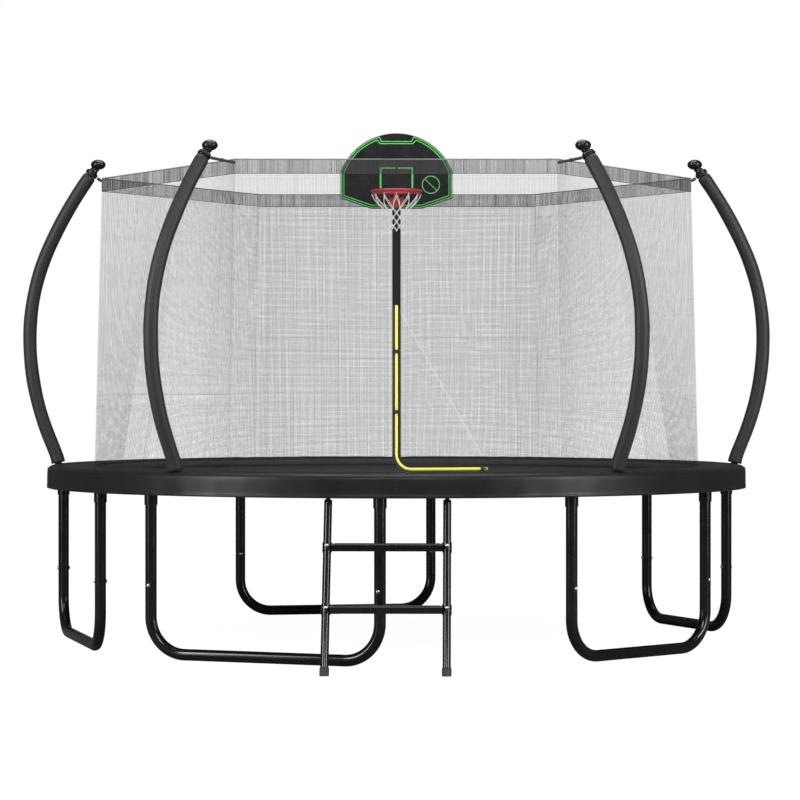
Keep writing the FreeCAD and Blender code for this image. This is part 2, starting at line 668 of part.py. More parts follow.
def ruled_half(panel, side):
    """Half a panel: the ruled face between its top and foot edges, given its thickness."""
    mitre = S.net_thickness / 2 * math.tan(math.radians(30)) + S.fit_gap
    reach = side * (1 - 2 * mitre / S.net_top_radius)
    low_edge = Part.makeLine(net_point(panel, 0, 0), net_point(panel, reach, 0))
    high_edge = Part.makeLine(net_point(panel, 0, 1), net_point(panel, reach, 1))
    face = Part.makeRuledSurface(low_edge, high_edge)
    across, outward = panel_axes(panel)
    half = face.extrude(outward * S.net_thickness)
    half.translate(outward * (-S.net_thickness / 2))
    return half


def gap_prisms(panel):
    """Prisms through a panel, one for each gap of its net."""
    across, outward = panel_axes(panel)
    columns, rows = int(round(S.net_columns)), int(round(S.net_rows))
    prisms = []
    for side in (-1, 1):
        for column in range(columns):
            for row in range(rows):
                corners = []
                for dx, dz in ((0, 0), (1, 0), (1, 1), (0, 1)):
                    corners.append(net_point(panel, side * (column + dx) / columns, (row + dz) / rows))
                centre = sum(corners, Vector()) / 4
                shrunk = []
                for corner in corners:
                    offset = corner - centre
                    wide, high = offset.dot(across), offset.z
                    wide -= math.copysign(S.net_border / 2, wide)
                    high -= math.copysign(S.net_border / 2, high)
                    shrunk.append(across * wide + UP * high + centre - outward * S.band_height)
                gap = Part.Face(Part.makePolygon(shrunk + shrunk[:1]))
                prisms.append(gap.extrude(outward * 2 * S.band_height))
    return prisms


DOOR_PANEL = 4


def door_frame():
    """Corner of the zip, and unit vectors along its foot, up its side and out of the flap."""
    corner = on_panel_side(S.zip_foot)
    foot_run = (net_foot_corner(10) - net_foot_corner(9)).normalize()
    upright = (on_panel_side(S.zip_top) - corner).normalize()
    outward = foot_run.cross(upright).normalize()
    return corner, foot_run, outward.cross(foot_run), outward


def on_panel_side(height):
    """A point on the middle line of the door's panel."""
    low, high = net_point(DOOR_PANEL, 0, 0), net_point(DOOR_PANEL, 0, 1)
    return low + (high - low) * ((height - low.z) / (high.z - low.z))


def door_tips():
    """The ends of the fold line in the flap's plane: at the top of the zip, and at the end of its foot."""
    corner, run, rise, outward = door_frame()
    top = on_panel_side(S.zip_top) - corner
    return Vector(top.dot(run), top.dot(rise), 0), Vector(S.zip_reach, 0, 0)


def zip_triangle(sides, diagonal, corner_radius, thickness):
    """A plate in the flap's plane inside three lines: the zip's two runs and the fold line.

    sides and diagonal move those lines into the flap, and out of it when they are negative.
    """
    peak, reach = door_tips()
    spots = [Vector(), reach, peak]
    shifts = [sides, diagonal, sides]
    lines = []
    for index, shift in enumerate(shifts):
        start, end = spots[index], spots[(index + 1) % 3]
        ahead = (end - start).normalize()
        inward = Vector(-ahead.y, ahead.x, 0)
        lines.append((start + inward * shift, ahead))
    corners = []
    for index in range(3):
        (p, d), (q, e) = lines[index - 1], lines[index]
        spread = d.x * e.y - d.y * e.x
        share = ((q.x - p.x) * e.y - (q.y - p.y) * e.x) / spread
        corners.append(p + d * share)
    plate = Part.Face(Part.makePolygon(corners + corners[:1])).extrude(UP * thickness)
    plate.translate(Vector(0, 0, -thickness / 2))
    edge = min(plate.Edges, key=lambda e: (e.CenterOfMass - Vector(corners[0].x, corners[0].y, 0)).Length)
    return plate.makeFillet(corner_radius, [edge])


def in_door_plane(shape, lift=0.0):
    """Carry a shape drawn flat on XY into the flap's plane, lifted outwards."""
    corner, run, rise, outward = door_frame()
    matrix = FreeCAD.Matrix(
        run.x, rise.x, outward.x, corner.x,
        run.y, rise.y, outward.y, corner.y,
        run.z, rise.z, outward.z, corner.z,
        0, 0, 0, 1,
    )
    moved = shape.copy()
    moved.translate(Vector(0, 0, lift))
    moved.Placement = Placement(matrix).multiply(moved.Placement)
    return moved


def net_panels():
    """Six net panels of two sewn halves each; the one over the ladder has an opening for the door flap."""
    thick = 40 * S.net_thickness
    fold = S.fold_cord + S.fit_gap
    for panel in range(6):
        prisms = gap_prisms(panel)
        if panel == DOOR_PANEL:
            half = S.zip_width / 2
            opening = zip_triangle(-half - S.fit_gap, -fold, S.zip_corner + half, thick)
            margin = S.net_border
            fence = zip_triangle(-half - margin, -fold - margin, S.zip_corner + half, 2 * thick)
            opening, fence = in_door_plane(opening), in_door_plane(fence)
            trimmed = [prism.cut(fence) for prism in prisms]
            prisms = [gap for gap in trimmed if gap.Volume > 0] + [opening]
        gaps = Part.makeCompound(prisms)
        halves = [ruled_half(panel, side).cut(gaps) for side in (-1, 1)]
        feature(Part.makeCompound(halves), f"net_panel_{panel + 1}")


def door_flap():
    """The flap of the door, a flat net inside the zip's two runs and the fold line with its cord."""
    clear = S.zip_width / 2 + S.fit_gap
    plate = zip_triangle(clear, 0, S.zip_corner - clear, S.net_thickness)
    upright = [e for e in plate.Edges if abs(e.tangentAt(e.FirstParameter).z) > 0.9]
    tips = sorted(upright, key=zip_corner_distance)
    plate = plate.makeFillet(S.zip_width / 2, tips[-2:])
    peak, reach = door_tips()
    fold = Vector(reach - peak)
    margin = fold.normalize() * (2 * S.zip_width)
    cord = Part.makeCylinder(S.fold_cord, (reach - peak).Length - 4 * S.zip_width, peak + margin, fold)
    deep = 3 * S.net_thickness
    window = zip_triangle(clear + S.net_border, S.net_border, S.zip_corner - clear, deep)
    columns, rows = 3, 4
    wide = S.zip_reach / columns
    high = (S.zip_top - S.zip_foot) / rows
    bars = []
    for column in range(1, columns):
        bars.append(Part.makeBox(S.net_border, rows * high, deep, Vector(column * wide, 0, -deep / 2)))
    for row in range(1, rows):
        bars.append(Part.makeBox(columns * wide, S.net_border, deep, Vector(0, row * high, -deep / 2)))
    gaps = [gap for gap in window.cut(Part.makeCompound(bars)).Solids if gap.Volume > S.net_border ** 3]
    feature(in_door_plane(plate.fuse(cord).cut(Part.makeCompound(gaps))), "door_flap")


def zip_corner_distance(edge):
    """How far an upright edge of a flap's plate is from the zip's corner."""
    middle = edge.CenterOfMass
    return math.hypot(middle.x, middle.y)


def door_zip():
    """The zip as one L-shaped strip with a rounded corner."""
    half = S.zip_width / 2
    outer = zip_triangle(-half, S.fit_gap, S.zip_corner + half, S.net_thickness)
    inner = zip_triangle(half, -S.net_border, S.zip_corner - half, 3 * S.net_thickness)
    feature(in_door_plane(outer.cut(inner)), "door_zip")


def zip_slider():
    """The slider with its tab, closed at the end of the horizontal run."""
    lift = S.net_thickness / 2 + S.fit_gap
    low = -S.slider_width / 2
    end = S.zip_reach - S.zip_width
    length, height = S.slider_length, S.slider_height
    block = Part.makeBox(length * 0.5, S.slider_width, height, Vector(end - length, low, 0))
    tab_corner = Vector(end - length * 0.6, low * 0.6, height * 0.3)
    tab = Part.makeBox(length * 0.6, S.slider_width * 0.6, height * 0.4, tab_corner)
    feature(in_door_plane(block.fuse(tab), lift), "zip_slider")


def buckles():
    """A catch on the fixed side of the zip and a tongue that slides out of it, at two heights."""
    corner, run, rise, outward = door_frame()
    top = on_panel_side(S.zip_top) - corner
    lean = top.dot(run) / top.dot(rise)
    lift = S.net_thickness / 2 + S.fit_gap
    wide, high, thick = S.buckle_width, S.buckle_height, S.buckle_thickness
    catches, tongues = [], []
    for height in (S.buckle_high, S.buckle_low):
        spot = on_panel_side(height) - corner
        centre = Vector(spot.dot(rise) * lean, spot.dot(rise), 0)
        body = Part.makeBox(wide * 0.55, high, thick, centre + Vector(-wide / 2, -high / 2, 0))
        pocket_corner = centre + Vector(-wide * 0.35, -high * 0.3, thick * 0.25)
        pocket = Part.makeBox(wide * 0.4, high * 0.6, thick * 0.5, pocket_corner)
        catches.append(in_door_plane(body.cut(pocket), lift))
        grip_corner = centre + Vector(wide * 0.05 + S.fit_gap, -high / 2, 0)
        grip = Part.makeBox(wide * 0.35, high, thick, grip_corner)
        prong_corner = centre + Vector(-wide * 0.33, -high * 0.3 + S.fit_gap, thick * 0.25 + S.fit_gap)
        prong_high, prong_thick = high * 0.6 - 2 * S.fit_gap, thick * 0.5 - 2 * S.fit_gap
        prong = Part.makeBox(wide * 0.5, prong_high, prong_thick, prong_corner)
        tongues.append(in_door_plane(grip.fuse(prong), lift))
    feature(Part.makeCompound(catches), "buckle_catches")
    feature(tongues[0], "buckle_tongue_upper")
    feature(tongues[1], "buckle_tongue_lower")


def net_rim():
    """The sleeve band round the net's top, and the rods along its upper edge."""
    slant = "cos(30)"
    foot = Placement(Vector(0, 0, S.net_top - S.band_height), Rotation())
    height = "Sizes.band_height - Sizes.rod_diameter - Sizes.fit_gap"
    walls = []
    for sign in ("+", "-"):
        wall = doc.addObject("Part::Prism", "Prism")
        wall.Polygon = 6
        wall.setExpression("Circumradius", f"Sizes.net_top_radius {sign} Sizes.net_thickness / 2 / {slant}")
        wall.setExpression("Height", height)
        wall.Placement = foot
        walls.append(wall)
    keep(cut(*walls), "net_band")
    rods = []
    radius = S.rod_diameter / 2
    for side in range(6):
        start, end = polar(S.net_top_radius, 60 * side), polar(S.net_top_radius, 60 * side + 60)
        ahead = Vector(end - start).normalize()
        begin = start + ahead * S.rod_diameter / 2 + UP * (S.net_top - radius)
        length = "Sizes.net_top_radius - Sizes.rod_diameter"
        rods.append(rod(along(begin, ahead), "Sizes.rod_diameter / 2", length))
    keep(group(rods), "net_rods")


def net_straps(caps):
    """A short strap from each pole cap to the nearest corner of the net."""
    straps = []
    corner_of = [0, 180, 240, 300]
    for (seat, axis), azimuth in zip(caps, corner_of):
        corner = polar(S.net_top_radius, azimuth, S.net_top - S.rod_diameter / 2)
        toward = Vector(corner - seat)
        inward = (toward - axis * toward.dot(axis)).normalize()
        low_collar = seat - axis * S.cap_collar_length * 0.3
        slant = math.sqrt(1 - Vector(toward).normalize().dot(inward) ** 2)
        start = low_collar + inward * (S.cap_collar_radius + S.rod_diameter * slant / 2 + 9 * S.fit_gap)
        run = corner - start
        straps.append(Part.makeCylinder(S.rod_diameter / 2, run.Length - 1.2 * S.rod_diameter, start, run))
    feature(Part.makeCompound(straps), "net_straps")


jumping_mat()
mat_rings()
springs()
safety_pad()
caps = [curved_pole(number + 1, *angles) for number, angles in enumerate(pole_azimuths())]
pole_saddles()
net_panels()
door_flap()
door_zip()
zip_slider()
buckles()
net_rim()
net_straps(caps)


def hoop_bolt_places():
    """Where the six board bolts sit: across, and height."""
    across = S.rim_plate_width / 2 - S.bolt_head
    low, high = S.rim_height - S.rim_plate_drop + S.bolt_head, S.rim_height - S.hoop_bolt_drop
    return [(side * across, height) for side in (-1, 1) for height in (low, high, S.back_bolt_height)]


def hoop_bolt_holes():
    """Bolt holes through the rim's bracket, the board and the back plate."""
    tools = []
    for x, z in hoop_bolt_places():
        start = Vector(x, S.board_distance - S.rim_rod, z)
        tools.append(rod(along(start, Vector(0, 1, 0)), "Sizes.bolt_shank / 2 + Sizes.fit_gap",
                         "Sizes.board_thickness + 4 * Sizes.rim_rod"))
    return fuse(tools)


def hoop_pole():
    """The straight closed tube at the back that carries the hoop."""
    foot = at(0, S.pole_foot_radius, pole_foot().z)
    length = f"Sizes.hoop_pole_top - {pole_foot_text()}"
    outer = rod(foot, "Sizes.hoop_pole_tube / 2", length)
    bore = rod(foot, "Sizes.hoop_pole_tube / 2 - Sizes.tube_wall", f"{length} - Sizes.tube_wall")
    return keep(cut(outer, bore), "hoop_pole")


def pole_foot_text():
    return "(Sizes.ring_height + Sizes.ring_tube / 2 + 2 * Sizes.fit_gap)"


def hoop_bracket(holes):
    """Two arms from the hoop pole over the net's rim, with a plate behind the board."""
    back = S.board_distance + S.board_thickness + S.fit_gap
    plate_depth = "Sizes.rim_plate_thickness"
    plate_foot = at(-S.rim_plate_width / 2, back, S.net_top + S.fit_gap)
    pieces = [box(plate_foot, "Sizes.rim_plate_width", plate_depth,
                  "Sizes.arm_high + Sizes.arm_width - Sizes.net_top - Sizes.fit_gap")]
    length = ("Sizes.pole_foot_radius - Sizes.hoop_pole_tube / 2 - Sizes.board_distance"
              " - Sizes.board_thickness - 2 * Sizes.fit_gap")
    for height in (S.arm_low, S.arm_high):
        corner = at(-S.arm_width / 2, back, height - S.arm_width / 2)
        arm = box(corner, "Sizes.arm_width", length, "Sizes.arm_width")
        hollow = "Sizes.arm_width - 2 * Sizes.tube_wall"
        inside = box(corner.multiply(at(S.tube_wall, 0, S.tube_wall)), hollow, length, hollow)
        collar_foot = at(0, S.pole_foot_radius, height - S.arm_width / 2)
        grip = "Sizes.hoop_pole_tube / 2 + Sizes.fit_gap"
        band = cut(rod(collar_foot, f"{grip} + Sizes.rim_plate_thickness", "Sizes.arm_width"),
                   rod(collar_foot, grip, "Sizes.arm_width"))
        pieces += [cut(arm, inside), band]
    return keep(cut(fuse(pieces), holes), "hoop_bracket")


def backboard(holes):
    """The fan-shaped board: upright sides, slanted lower corners and an arched top."""
    body = doc.addObject("PartDesign::Body", "Body")
    drawing = sketch(body, "XZ_Plane")
    half, foot = S.board_width / 2, S.board_foot_width / 2
    corners = [
        (-foot, "-Sizes.board_foot_width / 2", S.board_bottom, "Sizes.board_bottom"),
        (foot, "Sizes.board_foot_width / 2", S.board_bottom, "Sizes.board_bottom"),
        (half, "Sizes.board_width / 2", S.board_corner_low, "Sizes.board_corner_low"),
        (half, "Sizes.board_width / 2", S.board_corner_high, "Sizes.board_corner_high"),
        (-half, "-Sizes.board_width / 2", S.board_corner_high, "Sizes.board_corner_high"),
        (-half, "-Sizes.board_width / 2", S.board_corner_low, "Sizes.board_corner_low"),
    ]
    rise = S.board_top - S.board_corner_high
    text = "Sizes.board_top - Sizes.board_corner_high"
    arch_text = f"((Sizes.board_width / 2)^2 + ({text})^2) / (2 * ({text}))"
    outline(drawing, corners, arcs=[(3, (half ** 2 + rise ** 2) / (2 * rise), arch_text)])
    doc.recompute()
    pad = body.newObject("PartDesign::Pad", "Pad")
    pad.Profile = drawing
    pad.setExpression("Length", "Sizes.board_thickness")
    body.Placement = at(0, S.board_distance + S.board_thickness, 0)
    return keep(cut(body, holes), "backboard")


def rim(holes):
    """The red rim, its stay and its bracket on the board."""
    centre = S.board_distance - S.rim_reach - S.rim_radius
    face = S.board_distance - S.fit_gap
    plate_low = S.rim_height - S.rim_plate_drop
    ring = bend(at(0, centre, S.rim_height), "Sizes.rim_radius", "Sizes.rim_rod / 2", "360")
    plate_foot = at(-S.rim_plate_width / 2, face - S.rim_plate_thickness, plate_low)
    plate = box(plate_foot, "Sizes.rim_plate_width", "Sizes.rim_plate_thickness",
                "Sizes.rim_plate_drop + Sizes.rim_rod / 2")
    stay_foot = S.rim_height - S.rim_plate_thickness / 2
    stay_corner = at(-S.rim_plate_width / 2, centre + S.rim_radius * 0.8, stay_foot)
    stay = box(stay_corner, "Sizes.rim_plate_width",
               "Sizes.rim_reach - Sizes.fit_gap + Sizes.rim_radius * 0.2", "Sizes.rim_plate_thickness")
    well = rod(at(0, centre, S.rim_height - S.rim_rod), "Sizes.rim_radius", "2 * Sizes.rim_rod")
    return keep(cut(fuse([ring, plate, cut(stay, well)]), holes), "rim")


def rim_net():
    """The rim's cord net, a tapering sleeve open at both ends, with three rows of gaps."""
    centre = S.board_distance - S.rim_reach - S.rim_radius
    wall = S.cord_net_wall
    top = S.rim_height - S.rim_rod / 2 - S.fit_gap
    waist_drop, waist = 0.43 * S.cord_net_length, S.cord_net_waist_radius
    levels = [(S.rim_radius, 0), (waist, waist_drop), (S.cord_net_foot_radius, S.cord_net_length)]
    outside = [Vector(radius, 0, -drop) for radius, drop in levels]
    inside = [Vector(radius - wall, 0, -drop) for radius, drop in reversed(levels)]
    profile = outside + inside
    sleeve = Part.Face(Part.makePolygon(profile + profile[:1])).revolve(Vector(), UP, 360)
    loops, gaps = 12, []
    rows = [(0.08, 0.40), (0.46, 0.66), (0.72, 0.94)]
    for row, (high, low) in enumerate(rows):
        z_high, z_low = -high * S.cord_net_length, -low * S.cord_net_length
        radius = S.rim_radius if row == 0 else waist
        reach = radius * math.tan(math.pi / loops) * (0.62 if row == 0 else 0.8)
        middle = (z_high + z_low) / 2
        points = [Vector(0, 0, z_high), Vector(0, reach, middle)]
        points += [Vector(0, 0, z_low), Vector(0, -reach, middle)]
        diamond = Part.Face(Part.makePolygon(points + points[:1])).extrude(Vector(2 * S.rim_radius, 0, 0))
        for index in range(loops):
            gap = diamond.copy()
            gap.rotate(Vector(), UP, 360 / loops * (index + 0.5 * (row % 2)))
            gaps.append(gap)
    net = sleeve.cut(Part.makeCompound(gaps))
    net.translate(Vector(0, centre, top))
    feature(net, "rim_net")


def hoop_bolts():
    """Bolts through the rim's bracket and the board, and above them through the board and the back plate."""
    bolts = []
    back = Vector(0, 1, 0)
    behind = S.board_thickness + S.rim_plate_thickness + 3 * S.fit_gap
    length = "Sizes.board_thickness + Sizes.rim_plate_thickness + 3 * Sizes.fit_gap"
    for x, z in hoop_bolt_places():
        front = S.board_distance - S.fit_gap
        if z < S.net_top:
            front -= S.rim_plate_thickness + S.fit_gap
        start = Vector(x, front, z)
        bolts.append(fuse([
            rod(along(start, back), "Sizes.bolt_shank / 2", length),
            rod(along(start, -back), "Sizes.bolt_head / 2", "Sizes.bolt_head_height"),
            rod(along(start + back * behind, back), "Sizes.bolt_head / 2", "Sizes.bolt_head_height"),
        ]))
    return keep(group(bolts), "hoop_bolts")


def ladder_hinge():
    """The line about which the ladder swings, on the ring tube, in the ladder's own frame."""
    half = S.ladder_spacing / 2
    lift = S.hook_clearance - 2 * S.fit_gap
    return Vector(0, -math.sqrt(S.ring_radius ** 2 - half ** 2), S.ring_height - lift)


def ladder_frame():
    return Placement(Vector(), Rotation(UP, S.ladder_turn))


def rail_line():
    """Foot and head of a rail's centre line, in the plane of the rail."""
    hinge = ladder_hinge()
    head = Vector(0, hinge.y - S.ladder_head_reach, hinge.z - S.ladder_head_drop)
    return Vector(0, -S.ladder_foot_reach, 0), head


def ladder_rail(side, label, holes):
    """One rail with its hook over the ring tube."""
    foot, head = rail_line()
    slope = Vector(head - foot).normalize()
    x = side * S.ladder_spacing / 2
    start = foot + slope * (S.foot_cap_wall / slope.z) + Vector(x, 0, 0)
    hinge = ladder_hinge()
    frame = ladder_frame()
    run = Vector(head + Vector(x, 0, 0) - start)
    tube = Part.makeCylinder(S.ladder_tube / 2, run.Length, start, run)
    bore = Part.makeCylinder(S.ladder_tube / 2 - S.tube_wall, run.Length - S.tube_wall, start, run)
    inner = S.ring_tube / 2 + S.hook_clearance
    outer = inner + S.hook_thickness
    axis = Vector(1, 0, 0)
    corner = Vector(x - S.hook_width / 2, hinge.y, hinge.z)
    arch = Part.makeCylinder(outer, S.hook_width, corner, axis, 360)
    arch = arch.cut(Part.makeCylinder(inner, S.hook_width, corner, axis, 360))
    below = Part.makeBox(S.hook_width, 2 * outer, outer, corner + Vector(0, -outer, -outer))
    shank = Part.makeBox(S.hook_width, S.hook_thickness, S.ladder_head_drop + S.ladder_tube / 2,
                         corner + Vector(0, -outer, -S.ladder_head_drop - S.ladder_tube / 2))
    big = 2 * S.ladder_tube
    foot_plane = Part.makeBox(big, big, big, start + Vector(-big / 2, -big / 2, -big))
    shape = tube.cut(bore).fuse([arch.cut(below), shank]).cut(foot_plane).cut(holes)
    piece = feature(shape, label)
    piece.Placement = frame


def tread_places():
    """Where each tread crosses the rails, and the rails' direction."""
    foot, head = rail_line()
    slope = Vector(head - foot).normalize()
    return [foot + slope * (height / slope.z) for height in (S.tread_low, S.tread_high)], slope


def ladder_bolt_tool(radius, overhang):
    """Cylinders through each rail at each tread, square to the rail."""
    spots, slope = tread_places()
    forward = Vector(0, -slope.z, slope.y)
    tools = []
    for spot in spots:
        for side in (-1, 1):
            centre = spot + Vector(side * S.ladder_spacing / 2, 0, 0)
            reach = S.ladder_tube / 2 + S.tread_wall + overhang
            tools.append(Part.makeCylinder(radius, 2 * reach, centre - forward * reach, forward))
    return tools, forward


def ladder_treads(holes):
    """Two hollow treads with a collar round each rail."""
    spots, slope = tread_places()
    treads = []
    clear = S.ladder_tube / 2 + S.fit_gap
    collar_radius = clear + S.tread_wall
    collar_length = S.tread_height + 4 * S.tread_wall
    for spot in spots:
        half = S.ladder_spacing / 2
        length = S.ladder_spacing - S.ladder_tube
        corner = spot + Vector(-length / 2, -S.tread_depth / 2, -S.tread_height / 2)
        bar = Part.makeBox(length, S.tread_depth, S.tread_height, corner)
        lengthways = [e for e in bar.Edges if abs(e.tangentAt(e.FirstParameter).x) > 0.9]
        bar = bar.makeFillet(2 * S.tread_wall, lengthways)
        wall = Vector(0, S.tread_wall, S.tread_wall)
        wall_depth, wall_height = S.tread_depth - 2 * S.tread_wall, S.tread_height - 2 * S.tread_wall
        tread = bar.cut(Part.makeBox(length, wall_depth, wall_height, corner + wall))
        for side in (-1, 1):
            low_end = spot + Vector(side * half, 0, 0) - slope * collar_length / 2
            tread = tread.fuse(Part.makeCylinder(collar_radius, collar_length, low_end, slope))
        for side in (-1, 1):
            low_end = spot + Vector(side * half, 0, 0) - slope * S.tread_depth
            tread = tread.cut(Part.makeCylinder(clear, 2 * S.tread_depth, low_end, slope))
        treads.append(tread.cut(holes))
    shape = Part.makeCompound([max(tread.Solids, key=lambda solid: solid.Volume) for tread in treads])
    piece = feature(shape, "ladder_treads")
    piece.Placement = ladder_frame()


def ladder_bolts():
    """A bolt with two domed heads through each end of each tread."""
    shanks, forward = ladder_bolt_tool(S.bolt_shank / 2, S.fit_gap)
    spots, slope = tread_places()
    bolts = []
    reach = S.ladder_tube / 2 + S.tread_wall + 2 * S.fit_gap
    centres = [spot + Vector(side * S.ladder_spacing / 2, 0, 0) for spot in spots for side in (-1, 1)]
    for shank, centre in zip(shanks, centres):
        heads = []
        for way in (forward, -forward):
            heads.append(Part.makeCylinder(S.bolt_head / 2, S.bolt_head_height, centre + way * reach, way))
        bolts.append(shank.fuse(heads))
    piece = feature(Part.makeCompound(bolts), "ladder_bolts")
    piece.Placement = ladder_frame()


def ladder_feet():
    """The rubber caps on the rails' feet, cut flat on the ground."""
    foot, head = rail_line()
    slope = Vector(head - foot).normalize()
    caps = []
    for side in (-1, 1):
        base = foot + Vector(side * S.ladder_spacing / 2, 0, 0)
        radius = S.ladder_tube / 2 + S.fit_gap
        low_end = base - slope * radius
        cap = Part.makeCylinder(radius + S.foot_cap_wall, S.foot_cap_length + radius, low_end, slope)
        bore = Part.makeCylinder(radius, S.foot_cap_length + 2 * radius, low_end, slope)
        big = 2 * S.foot_cap_length + 2 * S.ladder_tube
        below = base + Vector(-big / 2, -big / 2, -big)
        floor = Part.makeBox(big, big, big, below + UP * (S.foot_cap_wall - S.fit_gap))
        ground = Part.makeBox(big, big, big, below)
        caps.append(cap.cut(bore.cut(floor)).cut(ground))
    piece = feature(Part.makeCompound(caps), "ladder_feet")
    piece.Placement = ladder_frame()


hoop_pole()
hoop_bracket(hoop_bolt_holes())
backboard(hoop_bolt_holes())
rim(hoop_bolt_holes())
rim_net()
hoop_bolts()
bolt_holes = Part.makeCompound(ladder_bolt_tool(S.bolt_shank / 2 + S.fit_gap, S.ladder_tube)[0])
ladder_rail(-1, "ladder_rail_left", bolt_holes)
ladder_rail(1, "ladder_rail_right", bolt_holes)
ladder_treads(bolt_holes)
ladder_bolts()
ladder_feet()

doc.recompute()
broken = [piece.Label for piece in doc.Objects if "Invalid" in piece.State or "Error" in piece.State]
for piece in nodes:
    if piece.Shape.isNull() or not piece.Shape.isValid() or not piece.Shape.Solids:
        broken.append(piece.Label)
if broken:
    raise RuntimeError("pieces that failed: " + ", ".join(broken))
os.makedirs("parts", exist_ok=True)
for piece in nodes:
    piece.Shape.exportStep(f"parts/{piece.Label}.step")
print(len(nodes), "pieces written")
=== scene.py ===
import math
import random

import bmesh
import bpy
from bpy.props import FloatProperty, FloatVectorProperty, IntProperty, PointerProperty
from mathutils import Euler, Matrix, Vector


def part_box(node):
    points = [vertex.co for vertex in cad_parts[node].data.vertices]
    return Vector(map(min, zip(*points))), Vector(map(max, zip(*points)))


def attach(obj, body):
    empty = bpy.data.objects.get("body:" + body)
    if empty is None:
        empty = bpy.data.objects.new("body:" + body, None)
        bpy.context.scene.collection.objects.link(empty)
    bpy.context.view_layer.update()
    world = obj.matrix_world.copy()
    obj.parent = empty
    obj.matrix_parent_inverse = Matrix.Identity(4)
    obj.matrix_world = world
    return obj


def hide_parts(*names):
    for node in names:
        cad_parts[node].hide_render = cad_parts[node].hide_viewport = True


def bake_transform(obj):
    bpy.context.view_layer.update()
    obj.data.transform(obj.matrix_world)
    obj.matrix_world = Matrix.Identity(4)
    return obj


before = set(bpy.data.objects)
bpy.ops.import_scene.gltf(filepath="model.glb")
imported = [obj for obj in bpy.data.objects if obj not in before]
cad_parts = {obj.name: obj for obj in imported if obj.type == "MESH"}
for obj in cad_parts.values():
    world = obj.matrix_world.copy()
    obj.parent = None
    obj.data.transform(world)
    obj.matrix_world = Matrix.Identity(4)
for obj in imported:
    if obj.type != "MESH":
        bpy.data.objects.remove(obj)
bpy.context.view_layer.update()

bl_info = {
    "name": "Trampoline with net, hoop and ladder",
    "version": (1, 0, 0),
    "blender": (4, 5, 0),
    "location": "3D View > Sidebar > Trampoline",
    "description": "Dresses the frame of a round trampoline with cloth, net, foam and fittings",
    "category": "Add Mesh",
}

# Sizes in metres and angles in degrees of the pieces that the scene's own forms have to meet.
RING_RADIUS, RING_HEIGHT = 1.774, 0.832
SPRING_HOLE = (1.7555, RING_HEIGHT + 0.0175)
MAT_RADIUS, MAT_TOP = 1.560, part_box("mat")[1].z
PAD_INNER, PAD_TOP, PAD_BOTTOM, SKIRT_BOTTOM = 1.528, 0.912, 0.882, 0.795
LEG_AZIMUTHS = [7, 37.5, 83.5, 120.5, 175.5, 214.5, 228, 267.5, 298, 330]
LEG_BOLT_HEIGHT, LEG_BOLT_SEAT = 0.358, 0.0283
# Radius and height of the domed nuts.
LEG_DOME, TREAD_DOME = (0.0098, 0.0066), (0.0092, 0.0062)
POLE_FOOT_RADIUS, POLE_FOOT_HEIGHT = 1.775, 0.8576
# Each stretch of a pole is an arc's radius and turn, or a straight length and 0.
POLE_STRETCHES = [(0.320, 22), (0.085, 0), (1.385, -22), (1.165, -24), (2.200, -11.76)]
POLE_PLANES = [(0, 0), (180, 180), (233.5, 222), (306.5, 318)]
POLE_STEP, CAP_GAP = 0.012, 0.0003
FOAM_END_TURN = 0.325
NET_TOP_RADIUS, NET_FOOT_RADIUS = 1.552, 1.588
NET_TOP, BAND_HEIGHT, NET_FOOT = 2.421, 0.075, 0.9095
NET_SPREAD = 0.5
STRAP_CORNERS = [0, 180, 240, 300]
DOOR_PANEL = 4
ZIP_TOP, ZIP_FOOT, ZIP_REACH, ZIP_CORNER = 1.712, 0.9255, 0.462, 0.070
ZIP_END_GAP, ZIP_TOP_SHARE = 0.012, 0.995
BUCKLE_HEIGHTS = {"upper": 1.485, "lower": 1.197}
BOARD_FACE = 1.312
RIM_CENTRE, RIM_RADIUS = Vector((0, 1.109, 2.420)), 0.136
CORD_NET_DROP = 0.222
SPRING_COUNT, SPRING_OFFSET = 72, 2.17
LADDER_TURN = math.radians(-1.33)
LADDER_FOOT = Vector((0, -2.180, 0))
LADDER_HEAD = Vector((0, -1.7519 - 0.018, RING_HEIGHT - 0.0029 - 0.046))
TREAD_HEIGHTS, TREAD_BOLT_REACH, TREAD_BOLT_SEAT = (0.291, 0.570), 0.279, 0.0224
TREAD_TOP, RIB_SPREAD = 0.0178, 0.044
AXES = [Vector((1, 0, 0)), Vector((0, 1, 0)), Vector((0, 0, 1))]
UP = AXES[2]


# Settings

def colour_setting(name, description, default):
    return FloatVectorProperty(name=name, description=description, subtype="COLOR", default=default,
                               min=0, max=1)


def length_setting(name, description, default, least, most):
    return FloatProperty(name=name, description=description, unit="LENGTH", default=default,
                         min=least, max=most)


def count_setting(name, description, default, least, most):
    return IntProperty(name=name, description=description, default=default, min=least, max=most)


